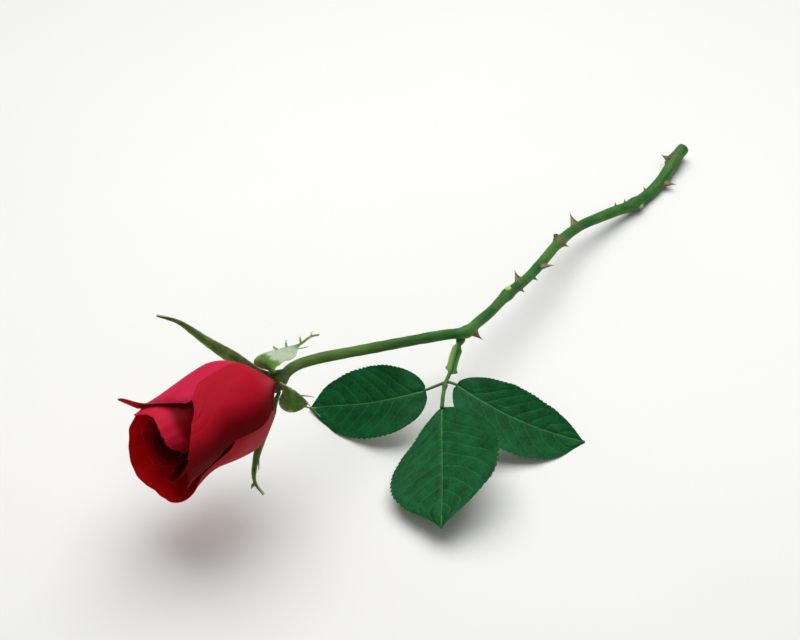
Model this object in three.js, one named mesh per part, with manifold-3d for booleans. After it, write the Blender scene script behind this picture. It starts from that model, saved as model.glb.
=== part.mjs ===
// A cut red rose that lies on its side: one stem with its hip, one leaf of three leaflets,
// five sepals, fourteen petals and twelve prickles. Millimetres, +Z up; the rose rests on z = 0.

import * as THREE from 'three';
import { mergeVertices } from 'three/addons/utils/BufferGeometryUtils.js';
import Module from 'manifold-3d';

const wasm = await Module();
wasm.setup();

// ---------------------------------------------------------------- driving dimensions

const GAP = 0.3;                  // clearance between two pieces that grew on each other

const STEM_RADIUS = 2.65;         // stem at its cut end
const PEDUNCLE_RADIUS = 2.1;      // upper stem, and the flower stalk up to the hip
const HIP_RADIUS = 4.0;           // hip under the sepals
const HIP_LENGTH = 9;
const NODE_SWELLING = 0.55;       // extra radius where a leaf grew
const NODE_REACH = 3.2;           // length over which a node swells

const BLOOM_RADIUS = 19.7;        // belly of the flower
const BLOOM_HEIGHT = 60;          // from the hip to the rims of the outer petals
const BLOOM_FOOT = 3;             // height at which the petals start
const BLOOM_BELLY = 24;           // height of the belly above the hip
const BLOOM_NECK = 2.8;           // how much the flower narrows above its belly
const BLOOM_YAW = 173.8;          // degrees, direction of the flower's axis seen from above
const BLOOM_PITCH = 2.2;          // degrees, how much that axis rises
const BLOOM_ROLL = 42.2;          // degrees from straight up to the flower's zero angle
const LAYERS = 14;                // one petal in each layer
const LAYER_STEP = 0.06;          // share of the radius from one layer to the next
const LAYER_LIFT = 0.45;          // each petal starts this much above the one outside it
const PETAL_THICKNESS = 0.62;
const PETAL_FOOT = 4.4;           // radius of the ring on which the petals stand

const SEPAL_THICKNESS = 0.6;
const SEPAL_FOOT = HIP_RADIUS + 2 * GAP + SEPAL_THICKNESS / 2;

const LEAF_THICKNESS = 0.6;
const STALK_RADIUS = 0.9;         // leaf stalk
const STIPULE_WIDTH = 1.9;        // half width of the winged part of the leaf stalk

const PRICKLE_HEIGHT = 5.2;
const PRICKLE_BASE = 2.9;         // half length of a prickle's foot along the stem

// ---------------------------------------------------------------- materials

const finish = (colour, roughness) =>
  new THREE.MeshStandardMaterial({ color: colour, roughness, metalness: 0 });

const MATERIALS = {
  petal: finish(0xb0101f, 0.6),
  petalInner: finish(0x7d0a14, 0.65),
  stem: finish(0x3f7a34, 0.5),
  leaf: finish(0x0f4a26, 0.45),
  sepal: finish(0x4d7233, 0.6),
  prickle: finish(0x8a4b3a, 0.5),
};

// ---------------------------------------------------------------- helpers

const rad = THREE.MathUtils.degToRad;
const smooth = (x, from, to) => THREE.MathUtils.smoothstep(x, from, to);
const lerp = THREE.MathUtils.lerp;

/** A value between evenly spaced stops, read smoothly at x from 0 to 1. */
function between(stops, x) {
  const last = stops.length - 1;
  const place = THREE.MathUtils.clamp(x, 0, 1) * last;
  const cell = Math.min(Math.floor(place), last - 1);
  const t = place - cell;
  const before = stops[Math.max(cell - 1, 0)];
  const after = stops[Math.min(cell + 2, last)];
  const slopeIn = (stops[cell + 1] - before) / 2;
  const slopeOut = (after - stops[cell]) / 2;
  const t2 = t * t;
  const t3 = t2 * t;
  return stops[cell] * (2 * t3 - 3 * t2 + 1) + slopeIn * (t3 - 2 * t2 + t)
    + stops[cell + 1] * (3 * t2 - 2 * t3) + slopeOut * (t3 - t2);
}

/** Signed volume of an indexed triangle list: positive when its faces point outwards. */
function signedVolume(points, faces) {
  const side = new THREE.Vector3();
  return faces.reduce((sum, [i, j, k]) =>
    sum + points[i].dot(side.crossVectors(points[j], points[k])), 0) / 6;
}

/** A closed body from points and triangles, turned so that its faces point outwards. */
function solid(points, faces) {
  const outwards = signedVolume(points, faces) > 0;
  const order = outwards ? faces : faces.map(([i, j, k]) => [i, k, j]);
  const geometry = new THREE.BufferGeometry();
  const flat = points.flatMap((point) => point.toArray());
  geometry.setAttribute('position', new THREE.Float32BufferAttribute(flat, 3));
  geometry.setIndex(order.flat());
  geometry.computeVertexNormals();
  return geometry;
}

/** Two triangles for each cell of a grid whose rows lie one after the other. */
function gridFaces(rows, columns, first, wrap) {
  const faces = [];
  const last = wrap ? columns : columns - 1;
  for (let row = 0; row < rows - 1; row += 1) {
    for (let column = 0; column < last; column += 1) {
      const next = (column + 1) % columns;
      const a = first + row * columns + column;
      const b = first + row * columns + next;
      const c = first + (row + 1) * columns + next;
      const d = first + (row + 1) * columns + column;
      faces.push([a, b, c], [a, c, d]);
    }
  }
  return faces;
}

/** A closed tube along a curve. section(t) gives its half width and half height there. */
function tube(curve, steps, sides, section) {
  const frames = curve.computeFrenetFrames(steps, false);
  const points = [];
  for (let step = 0; step <= steps; step += 1) {
    const t = step / steps;
    const centre = curve.getPointAt(t);
    const [wide, high] = section(t);
    for (let side = 0; side < sides; side += 1) {
      const turn = (2 * Math.PI * side) / sides;
      points.push(centre.clone()
        .addScaledVector(frames.normals[step], wide * Math.cos(turn))
        .addScaledVector(frames.binormals[step], high * Math.sin(turn)));
    }
  }
  const faces = gridFaces(steps + 1, sides, 0, true);
  const end = steps * sides;
  for (let side = 1; side < sides - 1; side += 1) {
    faces.push([0, side + 1, side], [end, end + side, end + side + 1]);
  }
  return solid(points, faces);
}

/**
 * A thin closed sheet. surface(u, v) gives its outer face for u from -1 to 1 and v from
 * 0 to 1, inward(u, v) the direction of its wall, and wall(v) the thickness of that wall.
 */
function sheet(across, along, surface, inward, wall) {
  const points = [];
  const rows = along + 1;
  const columns = across + 1;
  for (const depth of [0, 1]) {
    for (let row = 0; row < rows; row += 1) {
      for (let column = 0; column < columns; column += 1) {
        const u = (2 * column) / across - 1;
        const v = row / along;
        points.push(surface(u, v).addScaledVector(inward(u, v), depth * wall(v)));
      }
    }
  }
  const back = rows * columns;
  const front = gridFaces(rows, columns, 0, false);
  const faces = [...front, ...front.map(([i, j, k]) => [i + back, k + back, j + back])];
  const border = [];
  for (let column = 0; column < columns - 1; column += 1) border.push(column);
  for (let row = 0; row < rows - 1; row += 1) border.push(row * columns + columns - 1);
  for (let column = columns - 1; column > 0; column -= 1) {
    border.push((rows - 1) * columns + column);
  }
  for (let row = rows - 1; row > 0; row -= 1) border.push(row * columns);
  border.forEach((here, index) => {
    const next = border[(index + 1) % border.length];
    faces.push([here, here + back, next + back], [here, next + back, next]);
  });
  return solid(points, faces);
}

/** Unit normal of a surface at (u, v), from two short steps on it. */
function normalOf(surface, u, v) {
  const step = 0.01;
  const du = surface(Math.min(u + step, 1), v).sub(surface(Math.max(u - step, -1), v));
  const dv = surface(u, Math.min(v + step, 1)).sub(surface(u, Math.max(v - step, 0)));
  return du.cross(dv).normalize();
}

/** Joins closed geometries that overlap into one body. */
function join(geometries) {
  const bodies = geometries.map((geometry) => {
    const bare = geometry.clone();
    bare.deleteAttribute('normal');
    const merged = mergeVertices(bare);
    return new wasm.Manifold(new wasm.Mesh({
      numProp: 3,
      vertProperties: new Float32Array(merged.attributes.position.array),
      triVerts: new Uint32Array(merged.index.array),
    }));
  });
  const joined = bodies.reduce((all, body) => all.add(body)).getMesh();
  const geometry = new THREE.BufferGeometry();
  geometry.setAttribute('position', new THREE.BufferAttribute(joined.vertProperties, 3));
  geometry.setIndex(new THREE.BufferAttribute(joined.triVerts, 1));
  return geometry;
}

const group = new THREE.Group();

function addNode(name, geometry, material) {
  const mesh = new THREE.Mesh(geometry, material);
  mesh.name = name;
  group.add(mesh);
}

const route = (points) =>
  new THREE.CatmullRomCurve3(points.map((p) => new THREE.Vector3(...p)), false, 'centripetal');

// ---------------------------------------------------------------- stem

// From the cut end, down to the bend that rests on the surface, along to the leaf's node and
// up through the flower stalk to the hip.
const STEM_ROUTE = route([
  [166.7, -21.3, 5.2], [160.4, -22.5, 4.8], [150.8, -25.0, 3.8], [143.3, -26.6, 3.0],
  [136.5, -27.6, 2.7], [130.5, -28.0, 2.8], [124.5, -28.4, 3.5], [117.5, -28.2, 4.8],
  [110.7, -27.3, 6.3], [99.8, -26.8, 9.0], [85.9, -26.3, 12.0], [69.8, -28.6, 15.0],
  [50.5, -33.6, 17.5], [37.6, -36.6, 19.0], [20.7, -38.8, 21.0], [7.8, -41.6, 22.5],
  [-2.2, -43.1, 24.0], [-11.2, -44.2, 25.2], [-18.5, -41.2, 27.0], [-25.5, -38.8, 28.8],
  [-39.6, -34.4, 32.4], [-53.1, -30.8, 36.2], [-66.6, -27.4, 40.2], [-75.7, -25.4, 43.0],
  [-85.5, -24.3, 45.9], [-91.4, -25.0, 47.7], [-96.6, -26.5, 49.0], [-103.7, -27.1, 49.5],
]);
const STEM_LENGTH = STEM_ROUTE.getLength();
const LEAF_NODE = 0.646;                       // share of the stem's length
const STEM_NODES = [0.03, 0.163, 0.356, 0.528, LEAF_NODE];

function stemRadius(t) {
  const toHip = (1 - t) * STEM_LENGTH;
  const body = lerp(STEM_RADIUS, PEDUNCLE_RADIUS, smooth(t, 0.02, 0.36));
  const swelling = STEM_NODES.reduce((sum, node) => {
    const away = ((t - node) * STEM_LENGTH) / NODE_REACH;
    return sum + NODE_SWELLING * Math.exp(-away * away);
  }, 0);
  const hip = (HIP_RADIUS - PEDUNCLE_RADIUS) * smooth(HIP_LENGTH - toHip, 0, HIP_LENGTH * 0.8);
  return body + swelling + hip;
}

addNode('stem', tube(STEM_ROUTE, 84, 10, (t) => [stemRadius(t), stemRadius(t)]), MATERIALS.stem);

// ---------------------------------------------------------------- prickles

/** Unit direction away from the stem's axis at t, turned from straight up by angle. */
function stemSide(t, angle) {
  const along = STEM_ROUTE.getTangentAt(t);
  const up = new THREE.Vector3(0, 0, 1);
  up.addScaledVector(along, -up.dot(along)).normalize();
  return up.applyAxisAngle(along, rad(angle));
}

// Each prickle: its place along the stem, its angle around it from straight up, and its size.
const PRICKLES = [
  [0.032, 88, 0.8], [0.086, -88, 1.0], [0.124, 48, 0.4], [0.183, 32, 0.4], [0.204, 32, 0.35],
  [0.303, 48, 1.15], [0.358, -104, 0.5], [0.435, -74, 1.0], [0.463, -116, 0.45],
  [0.492, 44, 0.85], [0.5, -118, 0.45], [0.636, -128, 0.9],
];

function prickle(place, angle, size) {
  const out = stemSide(place, angle);
  const along = STEM_ROUTE.getTangentAt(place);
  const foot = STEM_ROUTE.getPointAt(place)
    .addScaledVector(out, stemRadius(place) + GAP + 0.1);
  const rise = PRICKLE_HEIGHT * size;
  const spine = new THREE.QuadraticBezierCurve3(
    foot,
    foot.clone().addScaledVector(out, rise * 0.55),
    foot.clone().addScaledVector(out, rise).addScaledVector(along, -rise * 0.28),
  );
  const rings = 4;
  const sides = 8;
  const points = [];
  const side = new THREE.Vector3().crossVectors(out, along);
  for (let ring = 0; ring < rings; ring += 1) {
    const t = ring / rings;
    const centre = spine.getPoint(t);
    const taper = (1 - t) ** 1.6;
    for (let step = 0; step < sides; step += 1) {
      const turn = (2 * Math.PI * step) / sides;
      points.push(centre.clone()
        .addScaledVector(along, PRICKLE_BASE * size * taper * Math.cos(turn))
        .addScaledVector(side, PRICKLE_BASE * 0.42 * size * taper * Math.sin(turn)));
    }
  }
  const tip = points.push(spine.getPoint(1)) - 1;
  const faces = gridFaces(rings, sides, 0, true);
  const top = (rings - 1) * sides;
  for (let step = 0; step < sides; step += 1) {
    faces.push([top + step, top + ((step + 1) % sides), tip]);
  }
  for (let step = 1; step < sides - 1; step += 1) faces.push([0, step + 1, step]);
  return solid(points, faces);
}

PRICKLES.forEach(([place, angle, size], index) => {
  const name = `prickle_${String(index + 1).padStart(2, '0')}`;
  addNode(name, prickle(place, angle, size), MATERIALS.prickle);
});

// ---------------------------------------------------------------- leaf

// The stalk leaves the stem under its node and ends in the end leaflet's own short stalk.
const STALK_ROUTE = route([
  [-14.0, -44.4, 21.9], [-17.8, -45.4, 21.6], [-23.7, -48.2, 21.0], [-30.1, -51.8, 20.0],
  [-33.7, -53.1, 19.0], [-37.9, -55.4, 17.4], [-41.8, -57.9, 16.0],
]);
const SIDE_STALKS = [
  route([[-33.7, -53.1, 19.0], [-37.6, -52.6, 19.3], [-41.1, -51.2, 19.1]]),
  route([[-33.7, -53.1, 19.0], [-33.3, -54.5, 19.2], [-32.7, -55.9, 19.1]]),
];

function stalkSection(t) {
  const wing = smooth(t, 0.08, 0.2) * (1 - smooth(t, 0.42, 0.56));
  const foot = 0.9 * (1 - smooth(t, 0, 0.14));
  return [STALK_RADIUS + foot * 0.5, STALK_RADIUS + foot + wing * (STIPULE_WIDTH - STALK_RADIUS)];
}

addNode('leaf_stalk', join([
  tube(STALK_ROUTE, 22, 8, stalkSection),
  ...SIDE_STALKS.map((side) => tube(side, 4, 8, () => [STALK_RADIUS * 0.8, STALK_RADIUS * 0.8])),
]), MATERIALS.stem);

/**
 * A toothed leaflet along its midrib. side is the direction of its first half; widths and
 * widest give each half's width and the place of that width, cup how far its edges stand
 * above the midrib.
 */
function leaflet({ midrib, side, widths, widest, cup, taper, teeth }) {
  const outline = (u, t) => {
    const half = u > 0 ? 0 : 1;
    const power = Math.log(0.5) / Math.log(widest[half]);
    return widths[half] * Math.sin(Math.PI * t ** power) ** 0.6 * (1 - t ** taper) + 0.35;
  };
  const along = teeth * 2;
  const tooth = (t) => (Math.round(t * along) % 2 ? 1 : 0.955);
  const blade = (u, v) => {
    const t = lerp(0.012, 0.985, v);
    const tangent = midrib.getTangentAt(t);
    const across = side.clone().addScaledVector(tangent, -side.dot(tangent)).normalize();
    const up = new THREE.Vector3().crossVectors(across, tangent);
    const reach = outline(u, t) * u;
    return midrib.getPointAt(t)
      .addScaledVector(across, reach)
      .addScaledVector(up, cup * (reach / widths[0]) ** 2);
  };
  const toothed = (u, v) => blade(Math.abs(u) > 0.99 ? u * tooth(v) : u, v);
  return sheet(6, along, toothed, (u, v) => normalOf(blade, u, v), () => LEAF_THICKNESS);
}

const LEAFLETS = {
  leaflet_left: {
    midrib: route([
      [-42.5, -50.6, 19.0], [-50.0, -43.4, 16.5], [-56.6, -33.7, 12.2], [-60.7, -24.2, 8.2],
      [-63.5, -16.0, 4.6], [-65.8, -9.3, 1.1],
    ]),
    side: new THREE.Vector3(0.6, 0.52, 0.58),
    widths: [14.6, 14.6],
    widest: [0.42, 0.42],
    cup: 1.0,
    taper: 14,
    teeth: 13,
  },
  leaflet_right: {
    midrib: route([
      [-32.4, -57.0, 19.0], [-31.3, -67.4, 17.0], [-27.1, -78.6, 12.5], [-21.1, -88.9, 7.7],
      [-13.9, -98.3, 3.3], [-8.9, -104.0, 0.5],
    ]),
    side: new THREE.Vector3(-0.6, -0.4, -0.42),
    widths: [15, 11.8],
    widest: [0.47, 0.44],
    cup: 3.2,
    taper: 14,
    teeth: 14,
  },
  leaflet_end: {
    midrib: route([
      [-43.3, -59.2, 15.8], [-51.2, -65.7, 15.8], [-63.4, -76.3, 15.0], [-76.4, -87.4, 13.0],
      [-85.2, -94.6, 11.0], [-89.5, -98.0, 9.0],
    ]),
    side: new THREE.Vector3(-0.65, 0.75, -0.42),
    widths: [21.8, 24.6],
    widest: [0.64, 0.52],
    cup: 1.5,
    taper: 7,
    teeth: 15,
  },
};

for (const [name, shape] of Object.entries(LEAFLETS)) {
  addNode(name, leaflet(shape), MATERIALS.leaf);
}

// ---------------------------------------------------------------- flower

const BLOOM_BASE = new THREE.Vector3(-101.4, -27.3, 49.4);
const yaw = rad(BLOOM_YAW);
const pitch = rad(BLOOM_PITCH);
const AXIS = new THREE.Vector3(
  Math.cos(pitch) * Math.cos(yaw), Math.cos(pitch) * Math.sin(yaw), Math.sin(pitch));
const UPRIGHT = new THREE.Vector3(0, 0, 1).addScaledVector(AXIS, -AXIS.z).normalize();
const SIDEWAYS = new THREE.Vector3().crossVectors(UPRIGHT, AXIS);

/** A point of the flower: degrees around its axis, height above the hip, radius. */
function bloomPoint(angle, height, radius) {
  const turn = rad(angle + BLOOM_ROLL);
  return BLOOM_BASE.clone()
    .addScaledVector(AXIS, height)
    .addScaledVector(UPRIGHT, radius * Math.cos(turn))
    .addScaledVector(SIDEWAYS, radius * Math.sin(turn));
}

/** Radius of the flower's outermost layer at a height above the hip. */
function envelope(height) {
  if (height <= BLOOM_FOOT) return PETAL_FOOT;
  if (height < BLOOM_BELLY) {
    const climb = (height - BLOOM_FOOT) / (BLOOM_BELLY - BLOOM_FOOT);
    return PETAL_FOOT + (BLOOM_RADIUS - PETAL_FOOT) * Math.sin((climb * Math.PI) / 2) ** 1.1;
  }
  return BLOOM_RADIUS - BLOOM_NECK * smooth(height, BLOOM_BELLY, BLOOM_BELLY + 28);
}

/** Radius of a layer: 0 is the outermost. close is how much its mouth draws in. */
function layerRadius(layer, height, close) {
  const share = 1 - LAYER_STEP * layer;
  const mouth = 1 - close * smooth(height, BLOOM_BELLY - 6, BLOOM_HEIGHT);
  return share * envelope(height - LAYER_LIFT * layer) * mouth;
}

// Outer and middle petals: layer, middle angle, half angle, heights of the rim from one side
// to the other, how much the mouth draws in, and flare, the outward bend of the rim at an
// angle and a height. twist turns a petal's upper part, and spiral lifts its first side
// outwards by that many layers.
const OUTER_PETALS = [
  {
    layer: 0, angle: -3, half: 41, rim: [43.5, 49.6, 54.2, 57.2, 59.6], close: 0,
    twist: 22, narrow: -0.06,
    flare: (angle, height) => 2.4 * smooth(height, 42, 60) * smooth(angle, 26, 60),
  },
  {
    layer: 1, angle: -70, half: 38, rim: [53, 55.2, 54.8, 51.2, 46], close: 0, narrow: 0,
    tip: { at: -0.72, width: 0.2, height: 6 },
    flare: (angle, height) => 6.5 * smooth(height, 52, 62) * (1 - smooth(Math.abs(angle + 99), 5, 26)),
  },
  {
    layer: 1, angle: 137, half: 105, close: 0, narrow: 0,
    rim: [34, 40, 52, 59, 59.3, 59.6, 58.2, 55, 50],
    flare: (angle, height) => (3.9 + 1.4 * Math.exp(-(((angle - 99) / 20) ** 2))
      - 1.2 * smooth(angle, 205, 240)) * smooth(height, 37, 58) * smooth(angle, 66, 90),
  },
  { layer: 3, angle: 80, half: 72, rim: [40, 54, 57, 57, 48], close: 0.02 },
  { layer: 4, angle: -165, half: 78, rim: [50, 55.5, 55, 53, 43], close: 0.06 },
  {
    layer: 5, angle: -32, half: 84, rim: [57, 60.3, 57.6, 59.2, 58.2, 53], close: 0.1,
    spiral: 3,
  },
  { layer: 6, angle: 170, half: 78, rim: [48, 53, 54, 53, 48], close: 0.24 },
];

// The heart of the flower: smaller petals, each a golden angle further round.
const GOLDEN_ANGLE = 137.5;
const HEART_PETALS = [];
for (let layer = OUTER_PETALS.length; layer < LAYERS; layer += 1) {
  const step = layer - OUTER_PETALS.length;
  const top = 52.5 - step;
  HEART_PETALS.push({
    layer,
    angle: 170 + GOLDEN_ANGLE * (step + 1),
    half: 82,
    rim: [top - 6.5, top - 1.5, top, top - 1.5, top - 6.5],
    close: 0.27 + 0.04 * step,
  });
}

/** How wide a petal is, from its narrow foot to its rounded rim, as a share of its half angle. */
function petalWidth(v, narrow) {
  return lerp(0.34, 1, smooth(v, 0, 0.55)) * (1 - narrow * smooth(v, 0.7, 1));
}

function petalSurface({
  layer, angle, half, rim, close, tip, flare, twist = 0, narrow = 0.14, spiral = 0,
}) {
  const foot = BLOOM_FOOT + LAYER_LIFT * layer + 0.2;
  return (u, v) => {
    const beak = tip ? tip.height * Math.exp(-(((u - tip.at) / tip.width) ** 2)) : 0;
    const top = between(rim, (u + 1) / 2) + beak * smooth(v, 0.75, 1);
    const height = lerp(foot, top, v ** 1.35);
    const around = angle + half * petalWidth(v, narrow) * u + twist * smooth(height, 35, 48);
    const outwards = smooth(-around, -25, 72);
    const bend = flare ? flare(around, height) : 0;
    const mouth = spiral ? close * (1 - outwards) : close;
    const radius = layerRadius(layer - spiral * outwards, height, mouth);
    return bloomPoint(around, height, radius + bend);
  };
}

const petalWall = (v) => PETAL_THICKNESS * lerp(0.35, 1, smooth(v, 0, 0.35));

[...OUTER_PETALS, ...HEART_PETALS].forEach((shape, index) => {
  const surface = petalSurface(shape);
  const outer = index < OUTER_PETALS.length;
  const across = Math.round(shape.half / (index ? 6.5 : 4.5));
  const along = index ? 9 : 18;                 // the twisted petal needs more rows
  const inward = (u, v) => normalOf(surface, u, v).negate();
  const geometry = sheet(outer ? across : 10, outer ? along : 7, surface, inward, petalWall);
  const material = index < 3 ? MATERIALS.petal : MATERIALS.petalInner;
  addNode(`petal_${String(index + 1).padStart(2, '0')}`, geometry, material);
});

// ---------------------------------------------------------------- sepals

// Each sepal: its angle, its half width, how late it tapers, where its waist lies and its
// course as pairs of clearance outside the flower and height.
const SEPALS = [
  {
    angle: -117, width: 5, blunt: 1.4,
    course: [[3.2, 4.2], [9.2, 7.2], [17, 10.8], [22.4, 12.4], [27, 14.4], [30, 19.4]],
  },
  {
    angle: -54, width: 6.4, blunt: 2.4, waist: [0.55, 0.74],
    course: [[1.9, 4.4], [4.2, 5], [7.2, 3.2], [7.2, -1], [6, -6.8], [5.6, -13.2], [6.4, -18.5],
      [5.4, -22.5]],
  },
  {
    angle: 50, width: 7.2, blunt: 4.5,
    course: [[1.8, 3.2], [5.2, 4], [9.2, 2.6], [12.4, -0.5]],
  },
  {
    angle: 115, width: 3.6, blunt: 1.5,
    course: [[2.4, 3.6], [2.4, 8], [2.6, 13.5], [5.6, 18.5], [10.3, 21.5], [13.8, 21.7],
      [19.4, 19.9]],
  },
  {
    angle: 172, width: 4.6, blunt: 1.6,
    course: [[2.4, 3.6], [2.6, 8.5], [4, 17], [5.4, 27], [10.4, 36]],
  },
];

function sepal({ angle, width, blunt, course, waist }) {
  const start = [SEPAL_FOOT, 1.2, 0];
  const spine = route([start, ...course.map(([clear, height]) =>
    [envelope(height) + clear, height, 0])]);
  const surface = (u, v) => {
    const { x: radius, y: height } = spine.getPointAt(v);
    const slim = waist ? 1 - 0.84 * smooth(v, ...waist) : 1;
    const half = width * (0.5 + 0.5 * smooth(v, 0, 0.28)) * slim * (1 - v ** blunt) + 0.35;
    const turn = THREE.MathUtils.radToDeg((half * u) / Math.max(radius, 10));
    return bloomPoint(angle + turn, height, radius);
  };
  const inward = (u, v) => normalOf(surface, u, v);
  return sheet(4, 16, surface, inward, () => SEPAL_THICKNESS);
}

SEPALS.forEach((shape, index) => {
  addNode(`sepal_${index + 1}`, sepal(shape), MATERIALS.sepal);
});

// ---------------------------------------------------------------- origin

// The part's origin is the middle of the surface it rests on, under its own outline.
const box = new THREE.Box3().setFromObject(group);
const middle = box.getCenter(new THREE.Vector3());
group.position.set(-middle.x, -middle.y, -box.min.z);
group.updateMatrixWorld(true);

export default group;
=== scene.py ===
"""A cut red rose that lies on its side: stem, prickles, one leaf, sepals and petals.

Every piece is built from its own dimensions in the plant's frame, in millimetres, and then
moved to where the fixed frame holds the stem. Run it as a script, or register it and use the
panel in the sidebar.
"""

import math

import bmesh
import bpy
import numpy as np
from mathutils import Matrix, Vector


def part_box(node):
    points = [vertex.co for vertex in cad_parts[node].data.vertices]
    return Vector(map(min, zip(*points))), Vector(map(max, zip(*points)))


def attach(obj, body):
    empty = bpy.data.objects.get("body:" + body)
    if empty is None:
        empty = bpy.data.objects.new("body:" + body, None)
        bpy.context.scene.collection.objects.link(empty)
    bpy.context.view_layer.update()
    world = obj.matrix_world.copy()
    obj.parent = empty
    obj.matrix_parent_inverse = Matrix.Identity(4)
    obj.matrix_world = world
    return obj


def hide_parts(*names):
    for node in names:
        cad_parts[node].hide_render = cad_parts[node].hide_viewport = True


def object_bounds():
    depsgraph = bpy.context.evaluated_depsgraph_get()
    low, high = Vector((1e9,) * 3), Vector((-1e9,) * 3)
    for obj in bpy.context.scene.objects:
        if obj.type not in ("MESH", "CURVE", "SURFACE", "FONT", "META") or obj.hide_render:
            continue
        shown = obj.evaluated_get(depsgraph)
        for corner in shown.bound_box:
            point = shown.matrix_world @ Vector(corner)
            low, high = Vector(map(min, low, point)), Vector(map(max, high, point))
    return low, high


bl_info = {
    "name": "Cut Rose",
    "version": (1, 0, 0),
    "blender": (4, 5, 0),
    "location": "View3D > Sidebar > Rose",
    "description": "Builds a cut rose that lies on a pale surface",
    "category": "Add Mesh",
}

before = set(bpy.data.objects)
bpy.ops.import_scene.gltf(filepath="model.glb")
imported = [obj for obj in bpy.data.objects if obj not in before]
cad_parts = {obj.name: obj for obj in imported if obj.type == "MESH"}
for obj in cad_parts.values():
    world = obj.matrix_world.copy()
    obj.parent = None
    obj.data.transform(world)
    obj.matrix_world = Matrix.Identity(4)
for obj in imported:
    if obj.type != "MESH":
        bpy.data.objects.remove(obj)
FRAME_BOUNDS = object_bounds()

# ---------------------------------------------------------------- the plant's dimensions, mm

STEM_RADIUS = 2.65
PEDUNCLE_RADIUS = 2.1
HIP_RADIUS = 4.0
HIP_LENGTH = 9.0
NODE_SWELLING = 0.55
NODE_REACH = 3.2
STEM_NODES = (0.03, 0.163, 0.356, 0.528, 0.646)
BROWN_PATCHES = (0.03, 0.362, 0.306, 0.497, 0.36)
STEM_ROUTE = (
    (166.7, -21.3, 5.2), (160.4, -22.5, 4.8), (150.8, -25.0, 3.8), (143.3, -26.6, 3.0),
    (136.5, -27.6, 2.7), (130.5, -28.0, 2.8), (124.5, -28.4, 3.5), (117.5, -28.2, 4.8),
    (110.7, -27.3, 6.3), (99.8, -26.8, 9.0), (85.9, -26.3, 12.0), (69.8, -28.6, 15.0),
    (50.5, -33.6, 17.5), (37.6, -36.6, 19.0), (20.7, -38.8, 21.0), (7.8, -41.6, 22.5),
    (-2.2, -43.1, 24.0), (-11.2, -44.2, 25.2), (-18.5, -41.2, 27.0), (-25.5, -38.8, 28.8),
    (-39.6, -34.4, 32.4), (-53.1, -30.8, 36.2), (-66.6, -27.4, 40.2), (-75.7, -25.4, 43.0),
    (-85.5, -24.3, 45.9), (-91.4, -25.0, 47.7), (-96.6, -26.5, 49.0), (-103.7, -27.1, 49.5),
)

# Each prickle: place along the stem, degrees around it from straight up, size.
PRICKLE_HEIGHT = 5.4
PRICKLE_BASE = 3.0
PRICKLES = (
    (0.032, 88, 0.8), (0.086, -88, 1.0), (0.124, 48, 0.4), (0.183, 32, 0.4),
    (0.204, 32, 0.35), (0.303, 48, 1.15), (0.358, -104, 0.5), (0.435, -74, 1.0),
    (0.463, -116, 0.45), (0.492, 44, 0.85), (0.500, -118, 0.45), (0.636, -128, 0.9),
)

# Buds and leaf scars: place along the stem, degrees, length, width, height, tone.
SCAR_SKIN = 4
SCARS = (
    (0.036, 40, 3.4, 1.9, 0.9, 0.95), (0.045, 62, 2.6, 1.4, 0.9, 0.7),
    (0.158, -96, 3.2, 1.9, 0.9, 0.04), (0.168, -80, 2.2, 1.5, 0.6, 0.85),
    (0.353, 62, 3.4, 1.7, 1.6, 0.35), (0.364, 40, 2.6, 1.5, 0.8, 0.8),
    (0.526, 6, 3.4, 2.5, 0.9, 0.0), (0.517, -16, 2.2, 1.3, 0.5, 0.6),
)

BLOOM_BASE = np.array((-101.4, -27.3, 49.4))
BLOOM_YAW = math.radians(173.8)
BLOOM_PITCH = math.radians(2.2)
BLOOM_ROLL = 42.2
BLOOM_RADIUS = 19.7
BLOOM_HEIGHT = 60.0
BLOOM_FOOT = 3.0
BLOOM_BELLY = 24.0
BLOOM_NECK = 2.8
LAYER_STEP = 0.06
LAYER_LIFT = 0.45
PETAL_FOOT = 4.4
NECK_REACH = 28

# Thickness of each sheet, and how much thinner it is at its rim.
LEAF_WALL, LEAF_THINNING = 0.42, 0.24
SEPAL_WALL, SEPAL_THINNING = 0.45, 0.2
PETAL_WALL = 0.22
WING_WALL = 0.35
LOBE_WALL = 0.22

# How far the relief of each piece rises or sinks.
BARK_SWELL, BARK_RIPPLE = 0.07, 0.03
LEAF_BULGE, LEAF_GROOVE, LEAF_RIPPLE = 0.11, 0.25, 0.5
PETAL_EDGE, PETAL_WAVE, PETAL_DIMPLE = 0.8, 0.55, 0.14

# How finely each sheet is divided, across and along.
LEAF_GRID = (110, 330)
WING_GRID = (10, 60)
PETAL_GRID = (150, 130)
HEART_GRID = (90, 80)
SEPAL_GRID = (40, 160)
LOBE_GRID = (8, 30)

# Steps along the stem and degrees around it at which its box is measured.
BOX_STEPS, BOX_ANGLE = 1200, 10

# Sides around each round piece and steps along it.
STEM_STEPS = (48, 700)
STALK_STEPS = (20, 60)
SCAR_STEPS = (20, 10)
PRICKLE_STEPS = (20, 22)

CAMERA_AZIMUTH = math.radians(-49)
CAMERA_ELEVATION = math.radians(40)
CAMERA_DISTANCE = 1.1
CAMERA_LENS = 120.0
SENSOR_WIDTH = 36.0

# Metres. Each light: name, how far behind the rose, height, side of its square, setting.
FLOOR_SIZE = 6.0
LIGHTS = (
    ("top_light", 0.38, 1.25, 1.5, "top_power"),
    ("front_light", -1.1, 1.1, 1.2, "front_power"),
)

# ---------------------------------------------------------------- shape helpers


def smooth(x, low, high):
    """0 below low, 1 above high, with a soft step between them."""
    t = np.clip((np.asarray(x, float) - low) / (high - low), 0, 1)
    return t * t * (3 - 2 * t)


def bell(x, middle, width):
    """1 at the middle, fading to 0 over a few widths."""
    return np.exp(-(((np.asarray(x, float) - middle) / width) ** 2))


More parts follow.
